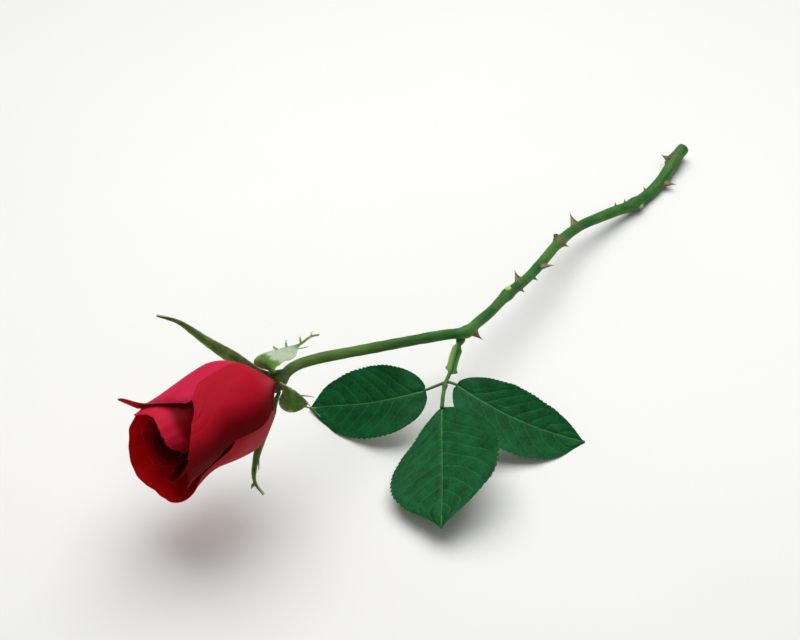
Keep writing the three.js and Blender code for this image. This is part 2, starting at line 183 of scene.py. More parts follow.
def unit(vectors):
    """Vectors of length 1."""
    length = np.linalg.norm(vectors, axis=-1, keepdims=True)
    return vectors / np.maximum(length, 1e-9)


def between(stops, x):
    """A smooth value between evenly spaced stops, for x from 0 to 1."""
    stops = np.asarray(stops, float)
    place = np.clip(x, 0, 1) * (len(stops) - 1)
    cell = np.minimum(place.astype(int), len(stops) - 2)
    t = place - cell
    here, there = stops[cell], stops[cell + 1]
    before = stops[np.maximum(cell - 1, 0)]
    after = stops[np.minimum(cell + 2, len(stops) - 1)]
    rise_in, rise_out = (there - before) / 2, (after - here) / 2
    return (here * (2 * t**3 - 3 * t**2 + 1) + rise_in * (t**3 - 2 * t**2 + t)
            + there * (3 * t**2 - 2 * t**3) + rise_out * (t**3 - t**2))


def waves(x, seed, parts=4):
    """A gentle uneven wave between about -1 and 1."""
    dice = np.random.default_rng(seed)
    total = np.zeros_like(np.asarray(x, float))
    for part in range(1, parts + 1):
        pace = part * dice.uniform(0.7, 1.3)
        total += np.sin(2 * math.pi * pace * x + dice.uniform(0, 6.28)) / part**0.7
    return total / 2


class Course:
    """A smooth path through points, read by share of its length."""

    def __init__(self, points, fine=20):
        p = np.asarray(points, float)
        p = np.vstack([2 * p[0] - p[1], p, 2 * p[-1] - p[-2]])
        spans = [self.span(p[i - 1:i + 3], fine) for i in range(1, len(p) - 2)]
        self.points = np.vstack([*spans, p[-2:-1]])
        steps = np.linalg.norm(np.diff(self.points, axis=0), axis=1)
        reach = np.concatenate([[0], np.cumsum(steps)])
        self.length = reach[-1]
        self.shares = reach / self.length

    @staticmethod
    def span(four, fine):
        """Points of a centripetal span from the second of four points to the third."""
        a, b, c, d = four
        k1 = np.linalg.norm(b - a) ** 0.5
        k2 = k1 + np.linalg.norm(c - b) ** 0.5
        k3 = k2 + np.linalg.norm(d - c) ** 0.5
        t = np.linspace(k1, k2, fine, endpoint=False)[:, None]
        ab = (k1 - t) / k1 * a + t / k1 * b
        bc = (k2 - t) / (k2 - k1) * b + (t - k1) / (k2 - k1) * c
        cd = (k3 - t) / (k3 - k2) * c + (t - k2) / (k3 - k2) * d
        abc = (k2 - t) / k2 * ab + t / k2 * bc
        bcd = (k3 - t) / (k3 - k1) * bc + (t - k1) / (k3 - k1) * cd
        return (k2 - t) / (k2 - k1) * abc + (t - k1) / (k2 - k1) * bcd

    def at(self, t):
        columns = [np.interp(t, self.shares, axis) for axis in self.points.T]
        return np.stack(columns, axis=-1)

    def along(self, t, step=0.005):
        ahead = self.at(np.minimum(np.add(t, step), 1))
        return unit(ahead - self.at(np.maximum(np.subtract(t, step), 0)))


STEM = Course(STEM_ROUTE)


def stem_radius(t):
    """Radius of the stem at a share of its length, with its nodes and its hip."""
    t = np.asarray(t, float)
    body = STEM_RADIUS + (PEDUNCLE_RADIUS - STEM_RADIUS) * smooth(t, 0.02, 0.36)
    for node in STEM_NODES:
        body = body + NODE_SWELLING * bell(t * STEM.length, node * STEM.length, NODE_REACH)
    to_hip = (1 - t) * STEM.length
    hip = smooth(HIP_LENGTH - to_hip, 0, HIP_LENGTH * 0.8)
    return body + (HIP_RADIUS - PEDUNCLE_RADIUS) * hip


def stem_side(t, angle):
    """Direction away from the stem's axis, turned from straight up by an angle."""
    along = STEM.along(t)
    up = unit(np.array((0.0, 0.0, 1.0)) - along[..., 2:] * along)
    turn = np.radians(angle)
    return up * np.cos(turn)[..., None] + np.cross(along, up) * np.sin(turn)[..., None]


AXIS = np.array((math.cos(BLOOM_PITCH) * math.cos(BLOOM_YAW),
                 math.cos(BLOOM_PITCH) * math.sin(BLOOM_YAW), math.sin(BLOOM_PITCH)))
UPRIGHT = unit(np.array((0.0, 0.0, 1.0)) - AXIS[2] * AXIS)
SIDEWAYS = np.cross(UPRIGHT, AXIS)


def bloom_point(angle, height, radius):
    """A point of the flower: degrees around its axis, height above the hip, radius."""
    angle, height, radius = np.broadcast_arrays(
        *(np.asarray(item, float) for item in (angle, height, radius)))
    turn = np.radians(angle + BLOOM_ROLL)
    return (BLOOM_BASE + AXIS * height[..., None]
            + UPRIGHT * (radius * np.cos(turn))[..., None]
            + SIDEWAYS * (radius * np.sin(turn))[..., None])


def envelope(height):
    """Radius of the flower's outermost layer at a height above the hip."""
    height = np.asarray(height, float)
    climb = np.clip((height - BLOOM_FOOT) / (BLOOM_BELLY - BLOOM_FOOT), 0, 1)
    cup = PETAL_FOOT + (BLOOM_RADIUS - PETAL_FOOT) * np.sin(climb * math.pi / 2) ** 1.1
    return cup - BLOOM_NECK * smooth(height, BLOOM_BELLY, BLOOM_BELLY + NECK_REACH)


def layer_radius(layer, height, close):
    """Radius of a layer of petals, 0 outermost; close is how much its mouth draws in."""
    mouth = 1 - close * smooth(height, BLOOM_BELLY - 6, BLOOM_HEIGHT)
    return (1 - LAYER_STEP * layer) * envelope(height - LAYER_LIFT * layer) * mouth


# ---------------------------------------------------------------- mesh helpers


def coordinates(made):
    """The vertices of a mesh as rows of three numbers."""
    held = np.zeros(len(made.vertices) * 3, np.float32)
    made.vertices.foreach_get("co", held)
    return held.reshape(-1, 3)


def store(made, key, values):
    """Keeps one number, or one vector, at each point of a mesh."""
    held = np.asarray(values, np.float32)
    kind, field = ("FLOAT_VECTOR", "vector") if held.ndim > 1 else ("FLOAT", "value")
    made.attributes.new(key, kind, "POINT").data.foreach_set(field, held.ravel())


def read(made, key):
    """The number that a mesh keeps at each of its points."""
    held = np.zeros(len(made.vertices), np.float32)
    made.attributes[key].data.foreach_get("value", held)
    return held


def ring_faces(rings, sides):
    """Faces between rings of points that follow each other outwards."""
    return [(ring * sides + step, ring * sides + (step + 1) % sides,
             (ring + 1) * sides + (step + 1) % sides, (ring + 1) * sides + step)
            for ring in range(rings - 1) for step in range(sides)]


def cap_faces(start, sides, tip):
    """Triangles from a ring of points to its tip."""
    return [(start + step, start + (step + 1) % sides, tip) for step in range(sides)]


class Body:
    """Vertices, faces and point values of one piece, gathered part by part."""

    def __init__(self):
        self.points = []
        self.faces = []
        self.values = {"skin": [], "tone": [], "inside": []}
        self.count = 0

    def add(self, points, faces, skin, tone, inside):
        """Adds one closed part; tone and inside may be one number for all its points."""
        size = len(points)
        self.points.append(points)
        self.faces += [tuple(index + self.count for index in face) for face in faces]
        self.values["skin"].append(skin)
        for key, item in (("tone", tone), ("inside", inside)):
            self.values[key].append(np.broadcast_to(np.asarray(item, float), (size,)))
        self.count += size

    def sheet(self, surface, grid, wall, tone, length, width):
        """
        A closed thin sheet. surface takes u from -1 to 1 and v from 0 to 1; wall gives the
        thickness there, grown to the side of the surface's normal.
        """
        across, along = grid
        u, v = np.meshgrid(np.linspace(-1, 1, across + 1), np.linspace(0, 1, along + 1))
        outer = surface(u, v)
        normal = unit(np.cross(np.gradient(outer, axis=1), np.gradient(outer, axis=0)))
        inner = outer + normal * wall(u, v)[..., None]
        rows, columns = u.shape
        total = rows * columns
        index = np.arange(total).reshape(rows, columns)
        a, b = index[:-1, :-1].ravel(), index[:-1, 1:].ravel()
        c, d = index[1:, 1:].ravel(), index[1:, :-1].ravel()
        faces = list(zip(a, d, c, b))
        faces += list(zip(a + total, b + total, c + total, d + total))
        border = np.concatenate([index[0, :-1], index[:-1, -1], index[-1, :0:-1],
                                 index[:0:-1, 0]])
        after = np.roll(border, -1)
        faces += list(zip(border, after, after + total, border + total))
        points = np.vstack([outer.reshape(-1, 3), inner.reshape(-1, 3)])
        skin = np.stack([u.ravel() * width, v.ravel() * length, np.zeros(total)], axis=-1)
        self.add(points, faces, np.vstack([skin, skin]),
                 np.concatenate([tone(u, v).ravel()] * 2), np.repeat((0.0, 1.0), total))

    def dome(self, centre, along, out, size, tone):
        """A rounded bump with half sizes along, sideways and outwards."""
        side = np.cross(out, along)
        sides, rings = SCAR_STEPS
        polar = np.linspace(0, math.pi, rings + 1)[1:-1]
        turn = np.linspace(0, 2 * math.pi, sides, endpoint=False)
        p, t = np.meshgrid(polar, turn, indexing="ij")
        x = (np.sin(p) * np.cos(t)).ravel()
        y = (np.sin(p) * np.sin(t)).ravel()
        z = np.cos(p).ravel()
        local = np.vstack([np.stack([x, y, z], axis=-1), (0, 0, 1), (0, 0, -1)])
        points = (centre + along * local[:, :1] * size[0] + side * local[:, 1:2] * size[1]
                  + out * local[:, 2:] * size[2])
        top, last = (rings - 1) * sides, (rings - 2) * sides
        faces = [face[::-1] for face in ring_faces(rings - 1, sides)]
        faces += cap_faces(0, sides, top)
        faces += [face[::-1] for face in cap_faces(last, sides, top + 1)]
        self.add(points, faces, local * SCAR_SKIN, tone, 1)

    def mesh(self, name):
        """The finished mesh, in metres and in the fixed frame."""
        points = (np.vstack(self.points) + SHIFT) / 1000
        made = bpy.data.meshes.new(name)
        made.from_pydata(points.tolist(), [], [list(map(int, face)) for face in self.faces])
        for key, parts in self.values.items():
            store(made, key, np.concatenate(parts))
        finish_mesh(made)
        return made


def finish_mesh(made):
    """Turns every closed part's faces outwards and shades it smoothly."""
    work = bmesh.new()
    work.from_mesh(made)
    bmesh.ops.recalc_face_normals(work, faces=work.faces)
    work.to_mesh(made)
    work.free()
    made.shade_smooth()
    made.update()


def place(name, made, material, slot, nodes):
    """Adds a piece to the scene under the root body and hides the nodes that it stands for."""
    made.materials.clear()
    made.materials.append(material)
    piece = bpy.data.objects.new(name, made)
    bpy.context.scene.collection.objects.link(piece)
    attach(piece, "root")
    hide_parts(*nodes)
    return piece


def find_shift():
    """How far the plant's frame lies from the fixed frame, in mm, from the stem's box."""
    t = np.linspace(0, 1, BOX_STEPS)
    cloud = np.vstack([
        STEM.at(t) + stem_side(t, np.full_like(t, angle)) * stem_radius(t)[:, None]
        for angle in range(0, 360, BOX_ANGLE)])
    low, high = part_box("stem")
    held = (np.array(low) + np.array(high)) / 2 * 1000
    return held - (cloud.min(axis=0) + cloud.max(axis=0)) / 2


SHIFT = find_shift()

# ---------------------------------------------------------------- node trees


def feed(tree, slot, item):
    """Joins a signal to an input, or sets the input to a constant."""
    if isinstance(item, Signal):
        tree.links.new(item.socket, slot)
    else:
        slot.default_value = item


class Signal:
    """One output of a shader's nodes, usable in sums with numbers and other signals."""

    def __init__(self, tree, socket):
        self.tree = tree
        self.socket = socket

    def math(self, operation, *items, clamp=False):
        made = self.tree.nodes.new("ShaderNodeMath")
        made.operation = operation
        made.use_clamp = clamp
        for slot, item in zip(made.inputs, items):
            feed(self.tree, slot, item)
        return Signal(self.tree, made.outputs[0])

    def __add__(self, other):
        return self.math("ADD", self, other)

    def __sub__(self, other):
        return self.math("SUBTRACT", self, other)

    def __rsub__(self, other):
        return self.math("SUBTRACT", other, self)

    def __mul__(self, other):
        return self.math("MULTIPLY", self, other)

    __radd__ = __add__
    __rmul__ = __mul__

    def smooth(self, low, high):
        """0 below low, 1 above high, with a soft step between them."""
        made = self.tree.nodes.new("ShaderNodeMapRange")
        made.interpolation_type = "SMOOTHSTEP"
        for key, item in (("Value", self), ("From Min", low), ("From Max", high)):
            feed(self.tree, made.inputs[key], item)
        return Signal(self.tree, made.outputs[0])

    def limit(self):
        """The signal kept between 0 and 1."""
        return self.math("ADD", self, 0.0, clamp=True)


def tint(red, green, blue):
    """A linear colour from display values of 0 to 255."""
    def lin(value):
        value /= 255
        return value / 12.92 if value <= 0.04045 else ((value + 0.055) / 1.055) ** 2.4
    return (lin(red), lin(green), lin(blue), 1.0)


class Recipe:
    """A material under construction."""

    def __init__(self, name):
        self.material = bpy.data.materials.new(name)
        self.material.use_nodes = True
        self.tree = self.material.node_tree
        self.tree.nodes.clear()

    def node(self, kind, inputs=None, output=0, **settings):
        made = self.tree.nodes.new(kind)
        for key, item in settings.items():
            setattr(made, key, item)
        for key, item in (inputs or {}).items():
            feed(self.tree, made.inputs[key], item)
        return Signal(self.tree, made.outputs[output])

    def spot(self):
        """The place in the plant, in metres."""
        return self.node("ShaderNodeTexCoord", output="Object")

    def value(self, name, output="Fac"):
        return self.node("ShaderNodeAttribute", output=output, attribute_name=name)

    def stretch(self, vector, scale):
        return self.node("ShaderNodeVectorMath", {0: vector, 1: scale}, operation="MULTIPLY")

    def noise(self, vector, scale, detail=3.0, rough=0.55):
        return self.node("ShaderNodeTexNoise", {
            "Vector": vector, "Scale": scale, "Detail": detail, "Roughness": rough})

    def mix(self, share, first, second, mode="MIX"):
        return self.node("ShaderNodeMix", {0: share, 6: first, 7: second}, output=2,
                         data_type="RGBA", blend_type=mode)

    def bump(self, height, distance, strength=1.0):
        return self.node("ShaderNodeBump", {
            "Height": height, "Distance": distance, "Strength": strength})

    def gloss(self, **inputs):
        """The main shader; underscores stand for the spaces in its sockets' names."""
        return self.node("ShaderNodeBsdfPrincipled", {
            key.replace("_", " "): item for key, item in inputs.items()})

    def thin(self, share, base, through):
        """Ends a thin material that lets a share of the light through in a colour."""
        glow = self.node("ShaderNodeBsdfTranslucent", {"Color": through})
        return self.finish(self.node("ShaderNodeMixShader", {0: share, 1: base, 2: glow}))

    def finish(self, shader):
        end = self.tree.nodes.new("ShaderNodeOutputMaterial")
        feed(self.tree, end.inputs["Surface"], shader)
        return self.material


def petal_material(name, outside, outside_deep, inside, inside_deep, pale):
    """Velvet petal: its outside and inside colours, and how pale its foot is. Its tone paints
    the outside paler, partly bounce light on the lip, or darker with painted shade.
    """
    r = Recipe(name)
    skin = r.value("skin", "Vector")
    side = r.value("inside")
    tone = r.value("tone")
    veins = r.noise(r.stretch(skin, (1.0, 0.07, 1.0)), 1.1, 4.0, 0.6)
    cloud = r.noise(r.stretch(skin, (1.0, 0.6, 1.0)), 0.09, 3.0, 0.5)
    velvet = r.noise(skin, 2.6, 2.0, 0.6)
    foot = 1 - r.node("ShaderNodeSeparateXYZ", {0: skin}, output=1).smooth(0.0, 26.0)
    share = (cloud - 0.5) * 1.1 + (veins - 0.5) * 0.7 + (velvet - 0.5) * 0.2 + 0.45
    front = r.mix(share.limit(), outside, outside_deep)
    front = r.mix((foot * pale * (1 - side)).limit(), front, tint(226, 150, 140))
    # paler outside where tone is above 0.5: the lip's paler outer side, partly its own colour
    # and partly painted bounce light from the board
    front = r.mix(((tone - 0.5) * 0.7).limit(), front, tint(204, 88, 96))
    # painted shade: darker outside where tone is below 0.5
    front = r.mix(((0.5 - tone) * 1.8).limit(), front, tint(100, 0, 6))
    back = r.mix(share.limit(), inside, inside_deep)
    colour = r.mix(side, front, back)
    height = veins * 0.7 + velvet * 0.3
    base = r.gloss(
        Base_Color=colour, Roughness=velvet * 0.12 + 0.52, Specular_IOR_Level=0.06,
        Sheen_Weight=0.02, Sheen_Roughness=0.4, Sheen_Tint=tint(255, 110, 140),
        Subsurface_Weight=0.08, Subsurface_Radius=(0.0025, 0.0004, 0.0005),
        Subsurface_Scale=1.0, Normal=r.bump(height, 0.00012, 0.3))
    return r.thin(0.16, base, r.mix(0.5, colour, tint(220, 0, 6)))


def stem_material(name):
    """Green bark with fine lines, pale specks and brown patches."""
    r = Recipe(name)
    skin = r.value("skin", "Vector")
    tone = r.value("tone")
    spot = r.spot()
    lines = r.noise(r.stretch(skin, (3.0, 3.0, 0.09)), 1.6, 4.0, 0.6)
    patches = r.noise(spot, 62.0, 3.0, 0.55)
    grain = r.noise(spot, 900.0, 3.0, 0.6)
    specks = r.noise(r.stretch(skin, (4.0, 4.0, 0.8)), 1.5, 2.0, 0.5).smooth(0.70, 0.78)
    colour = r.mix(patches.smooth(0.3, 0.7), tint(12, 76, 24), tint(50, 108, 34))
    colour = r.mix(lines.smooth(0.42, 0.66) * 0.28, colour, tint(96, 138, 60))
    colour = r.mix(specks * 0.35, colour, tint(164, 182, 120))
    ends = r.node("ShaderNodeSeparateXYZ", {0: skin}, output=2).smooth(185.0, 262.0)
    colour = r.mix(ends * 0.4, colour, tint(104, 112, 50))
    brown = ((tone - 0.4) * 1.4 + (grain - 0.5) * 2.2 + (patches - 0.5) * 1.6).limit()
    colour = r.mix(brown * 0.6, colour, tint(112, 84, 62))
    pale = ((0.25 - tone) * 4.0 * r.value("inside")).limit()
    colour = r.mix(pale * 0.8, colour, tint(176, 200, 118))
    height = lines * 0.6 + grain * 0.25 + patches * 0.4
    return r.finish(r.gloss(
        Base_Color=colour, Roughness=grain * 0.25 + 0.36, Specular_IOR_Level=0.22,
        Subsurface_Weight=0.08, Subsurface_Radius=(0.0008, 0.0016, 0.0005),
        Subsurface_Scale=1.0, Normal=r.bump(height, 0.0004, 0.45)))


def prickle_material(name):
    """Horny prickles: greenish pink at the foot, red brown towards a dry tip."""
    r = Recipe(name)
    spot = r.spot()
    tone = r.value("tone")
    grain = r.noise(spot, 1400.0, 3.0, 0.6)
    colour = r.mix((tone * 1.5 + (grain - 0.5) * 0.5).limit(), tint(84, 88, 46),
                   tint(124, 74, 56))
    colour = r.mix((tone * 2.4 - 1.5 + (grain - 0.5) * 0.4).limit(), colour, tint(92, 58, 48))
    return r.finish(r.gloss(Base_Color=colour, Roughness=grain * 0.2 + 0.34,
                            Normal=r.bump(grain, 0.0002, 0.4)))


def leaf_material(name):
    """Deep green blade with pale veins and a lighter underside."""
    r = Recipe(name)
    skin = r.value("skin", "Vector")
    vein = r.value("tone")
    under = r.value("inside")
    spot = r.spot()
    cells = r.node("ShaderNodeTexVoronoi", {"Vector": spot, "Scale": 620.0},
                   feature="DISTANCE_TO_EDGE")
    net = 1 - cells.smooth(0.0, 0.16)
    cloud = r.noise(skin, 0.13, 4.0, 0.6)
    grain = r.noise(spot, 1500.0, 2.0, 0.6)
    colour = r.mix(cloud.smooth(0.3, 0.72), tint(0, 62, 24), tint(6, 88, 42))
    colour = r.mix(net * 0.12, colour, tint(40, 128, 66))
    colour = r.mix(vein.smooth(0.3, 0.86) * 0.24, colour, tint(60, 140, 76))
    colour = r.mix(vein.smooth(0.9, 1.0) * 0.7, colour, tint(128, 168, 84))
    colour = r.mix(under * 0.8, colour, tint(98, 134, 92))
    height = cloud * 0.6 - net * 0.12 - vein * 0.22 + grain * 0.08
    base = r.gloss(Base_Color=colour, Roughness=cloud * 0.16 + 0.44 + net * 0.05,
                   Specular_IOR_Level=0.13, Normal=r.bump(height, 0.0006, 0.5))
    return r.thin(0.08, base, r.mix(0.5, colour, tint(70, 170, 40)))


def sepal_material(name):
    """Sepals: green outside with a dark midrib and pale margins, whitish felt inside."""
    r = Recipe(name)
    skin = r.value("skin", "Vector")
    tone = r.value("tone")
    felt = r.value("inside")
    spot = r.spot()
    lines = r.noise(r.stretch(skin, (1.0, 0.09, 1.0)), 1.3, 3.0, 0.6)
    patches = r.noise(spot, 210.0, 3.0, 0.55)
    fluff = r.noise(spot, 2400.0, 3.0, 0.7)
    green = r.mix(patches.smooth(0.32, 0.7), tint(84, 134, 40), tint(134, 170, 74))
    green = r.mix(lines.smooth(0.45, 0.7) * 0.4, green, tint(140, 164, 92))
    green = r.mix(tone.smooth(0.5, 1.0) * 0.85, green, tint(206, 216, 176))
    green = r.mix((0.3 - tone).smooth(0.05, 0.3) * 0.4, green, tint(52, 96, 30))
    white = r.mix((fluff * 0.6 + patches * 0.4).smooth(0.35, 0.65), tint(150, 172, 130),
                  tint(194, 208, 182))
    colour = r.mix(felt, green, white)
    height = lines * 0.5 + fluff * 0.25
    base = r.gloss(Base_Color=colour, Roughness=fluff * 0.2 + 0.5, Sheen_Weight=0.08,
                   Specular_IOR_Level=0.2, Normal=r.bump(height, 0.0004, 0.5))
    return r.thin(0.22, base, colour)


def floor_material(name):
    """Smooth white board with a faint unevenness, darker away from its middle with painted
    shade.
    """
    r = Recipe(name)
    spot = r.spot()
    cloud = r.noise(spot, 5.0, 3.0, 0.5)
    grain = r.noise(spot, 700.0, 2.0, 0.6)
    reach = r.node("ShaderNodeVectorMath", {0: spot}, output=1, operation="LENGTH")
    colour = r.mix(cloud.smooth(0.25, 0.75), tint(220, 220, 217), tint(223, 223, 220))
    # painted shade: the board darkens away from its middle, as the light falls off towards the
    # corners
    colour = r.mix(reach.smooth(0.12, 0.42), colour, tint(210, 210, 208))
    return r.finish(r.gloss(Base_Color=colour, Roughness=grain * 0.1 + 0.75,
                            Specular_IOR_Level=0.15, Normal=r.bump(grain, 0.0001, 0.15)))


MATERIALS = {
    "rose_stem": stem_material,
    "rose_prickle": prickle_material,
    "rose_leaf": leaf_material,
    "rose_sepal": sepal_material,
    "pale_board": floor_material,
}

# Each petal's colours, outside, outside where deeper, inside and inside where deeper, and
# how pale its foot is.
PETAL_LOOKS = {
    "petal_outer": ((186, 20, 44), (160, 8, 28), (186, 0, 8), (146, 0, 4), 0.1),
    "petal_back": ((206, 36, 74), (180, 22, 54), (186, 0, 8), (146, 0, 4), 0.1),
    "petal_lip": ((184, 30, 42), (162, 18, 30), (186, 0, 8), (146, 0, 4), 0.35),
    "petal_inner": ((204, 34, 66), (174, 16, 38), (186, 0, 8), (146, 0, 4), 0.1),
    # the heart's look is darkened all over, painted shade of the flower's hollow middle
    "petal_heart": ((130, 2, 10), (92, 0, 4), (112, 0, 4), (70, 0, 2), 0.0),
}


def look(name):
    """A material by its name, made when it is first asked for."""
    made = bpy.data.materials.get(name)
    if made:
        return made
    if name in MATERIALS:
        return MATERIALS[name](name)
    *colours, pale = PETAL_LOOKS[name]
    return petal_material(name, *(tint(*colour) for colour in colours), pale)


# ---------------------------------------------------------------- shapes made with node groups


class Shape:
    """A geometry node group under construction, with named inputs."""

    def __init__(self, name, sockets):
        self.tree = bpy.data.node_groups.new(name, "GeometryNodeTree")
        sides = self.tree.interface
        sides.new_socket("Geometry", in_out="INPUT", socket_type="NodeSocketGeometry")
        for label, kind, default in sockets:
            made = sides.new_socket(label, in_out="INPUT", socket_type=kind)
            if default is not None:
                made.default_value = default
        sides.new_socket("Geometry", in_out="OUTPUT", socket_type="NodeSocketGeometry")
        self.entry = self.tree.nodes.new("NodeGroupInput").outputs
        self.leave = self.tree.nodes.new("NodeGroupOutput").inputs

    def node(self, kind, inputs=None, **settings):
        """Adds a node with its settings and its inputs, set or joined; returns its outputs."""
        made = self.tree.nodes.new(kind)
        for key, item in settings.items():
            setattr(made, key, item)
        for key, item in (inputs or {}).items():
            slot = made.inputs[key]
            if isinstance(item, bpy.types.NodeSocket):
                self.tree.links.new(item, slot)
            else:
                slot.default_value = item
        return made.outputs

    def named(self, name, data_type="FLOAT"):
        """A value that the points carry."""
        return self.node("GeometryNodeInputNamedAttribute", {"Name": name},
                         data_type=data_type)["Attribute"]

    def times(self, first, second):
        return self.node("ShaderNodeMath", {0: first, 1: second}, operation="MULTIPLY")[0]

    def close(self, geometry):
        """Realizes the instances, sets the material and closes the group."""
        real = self.node("GeometryNodeRealizeInstances", {0: geometry})[0]
        painted = self.node("GeometryNodeSetMaterial", {
            "Geometry": real, "Material": self.entry["Material"]})[0]
        self.tree.links.new(painted, self.leave[0])
        return self.tree


def sweep_group():
    """Sweeps a round section along edges, as thick as their thick attribute says."""
    group = Shape("sweep_along", (
        ("Sides", "NodeSocketInt", 24), ("Scale", "NodeSocketFloat", 1.0),
        ("Material", "NodeSocketMaterial", None)))
    curve = group.node("GeometryNodeMeshToCurve", {0: group.entry["Geometry"]})[0]
    size = group.times(group.named("thick"), group.entry["Scale"])
    ring = group.node("GeometryNodeCurvePrimitiveCircle", {
        "Resolution": group.entry["Sides"], "Radius": 1.0})[0]
    around = group.node("GeometryNodeSplineParameter")["Factor"]
    marked = group.node("GeometryNodeStoreNamedAttribute", {
        "Geometry": ring, "Name": "around", "Value": around},
        data_type="FLOAT", domain="POINT")[0]
    tube = group.node("GeometryNodeCurveToMesh", {
        "Curve": curve, "Profile Curve": marked, "Scale": size, "Fill Caps": True})[0]
    return group.close(tube)


def scatter_group(source):
    """Sets a copy of a source on every point, turned and sized by its attributes."""
    group = Shape("set_on_points", (
        ("Size", "NodeSocketFloat", 1.0), ("Seed", "NodeSocketInt", 7),
        ("Material", "NodeSocketMaterial", None)))
    copy = group.node("GeometryNodeObjectInfo", {"Object": source},
                      transform_space="ORIGINAL")["Geometry"]
    dice = group.node("FunctionNodeRandomValue", {
        "Min": 0.94, "Max": 1.06, "Seed": group.entry["Seed"]}, data_type="FLOAT")
    chance = next(output for output in dice if output.enabled)
    size = group.times(group.times(group.named("size"), group.entry["Size"]), chance)
    points = group.node("GeometryNodeMeshToPoints", {0: group.entry["Geometry"]})[0]
    return group.close(group.node("GeometryNodeInstanceOnPoints", {
        "Points": points, "Instance": copy, "Rotation": group.named("turn", "FLOAT_VECTOR"),
        "Scale": size})[0])


def run_group(made, tree, settings):
    """Runs a node group once on a mesh and returns the plain mesh that comes out."""
    carrier = bpy.data.objects.new("carrier", made)
    bpy.context.scene.collection.objects.link(carrier)
    modifier = carrier.modifiers.new("shape", "NODES")
    modifier.node_group = tree
    for item in tree.interface.items_tree:
        if item.item_type == "SOCKET" and item.in_out == "INPUT" and item.name in settings:
            modifier[item.identifier] = settings[item.name]
    scene = bpy.context.evaluated_depsgraph_get()
    scene.update()
    plain = bpy.data.meshes.new_from_object(carrier.evaluated_get(scene))
    carrier.modifiers.clear()
    bpy.data.objects.remove(carrier)
    return plain


def swept(courses, size, material):
    """
    Closed tubes along courses, as one plain mesh in the plant's millimetres. Each course
    comes with functions that give its radius and its tone at a share of its length.
    """
    sides, steps = size
    points, edges, thick, tone, along = [], [], [], [], []
    for course, radius, shade in courses:
        start = len(points)
        t = np.linspace(0, 1, steps + 1)
        points += course.at(t).tolist()
        edges += [(start + i, start + i + 1) for i in range(steps)]
        thick += np.broadcast_to(radius(t), t.shape).tolist()
        tone += np.broadcast_to(shade(t), t.shape).tolist()
        along += (t * course.length).tolist()
    made = bpy.data.meshes.new("paths")
    made.from_pydata(points, edges, [])
    for key, held in (("thick", thick), ("tone", tone), ("along", along)):
        store(made, key, held)
    return run_group(made, sweep_group(), {"Sides": sides, "Scale": 1.0, "Material": material})


def take(body, plain, inside=0.0):
    """Adds a swept mesh to a body, with a skin that has no seam."""
    turn = read(plain, "around") * 2 * math.pi
    skin = np.stack([np.cos(turn), np.sin(turn), read(plain, "along")], axis=-1)
    faces = [tuple(face.vertices) for face in plain.polygons]
    body.add(coordinates(plain).astype(float), faces, skin, read(plain, "tone"), inside)


# ---------------------------------------------------------------- stem and prickles


def stem_spot(share, angle, radius, sink):
    """A point a little under the bark, the direction along the stem and the one outwards."""
    t = np.array([share])
    out = stem_side(t, np.array([float(angle)]))[0]
    return STEM.at(t)[0] + out * (radius(t)[0] - sink), STEM.along(t)[0], out


def build_stem(settings):
    """The stem with its nodes, its hip, its buds and its leaf scars."""
    def radius(t):
        uneven = waves(t * 9, 5, 5) * BARK_SWELL + waves(t * 41, 8, 4) * BARK_RIPPLE
        return (stem_radius(t) + uneven * settings.relief) * settings.thickness

    def shade(t):
        spots = sum(0.5 * bell(t * STEM.length, share * STEM.length, 2.2)
                    for share in BROWN_PATCHES)
        return 0.28 + spots + 0.1 * waves(t * 7, 3, 4)

    material = look("rose_stem")
    body = Body()
    take(body, swept([(STEM, radius, shade)], STEM_STEPS, material))
    for share, angle, long, wide, high, tone in SCARS:
        centre, along, out = stem_spot(share, angle, radius, 0.25)
        body.dome(centre, along, out, (long / 2, wide / 2, high), tone)
    made = body.mesh("rose_stem")
    return place("rose_stem", made, material, "stem", ["stem"])


def prickle_shape():
    """One hooked prickle standing on the origin, pointing up and leaning along -X."""
    sides, rings = PRICKLE_STEPS
    rise = np.linspace(0, 1, rings + 1)[:-1]
    turn = np.linspace(0, 2 * math.pi, sides, endpoint=False)
    points, tone = [], []
    for t in rise:
        wide = PRICKLE_BASE * ((1 - t) ** 2.1 * 0.82 + 0.18 * (1 - t) ** 0.8)
        x = -PRICKLE_HEIGHT * 0.3 * t**1.7 + wide * np.cos(turn)
        y = wide * (0.42 + 0.2 * t) * np.sin(turn)
        z = np.full_like(turn, PRICKLE_HEIGHT * t - 0.5)
        points += np.stack([x, y, z], axis=-1).tolist()
        tone += [t] * sides
    points.append((-PRICKLE_HEIGHT * 0.3, 0, PRICKLE_HEIGHT - 0.5))
    tone.append(1.0)
    faces = ring_faces(rings, sides) + cap_faces((rings - 1) * sides, sides, rings * sides)
    faces.append(tuple(range(sides - 1, -1, -1)))
    made = bpy.data.meshes.new("prickle")
    made.from_pydata(points, [], faces)
    store(made, "tone", tone)
    return made


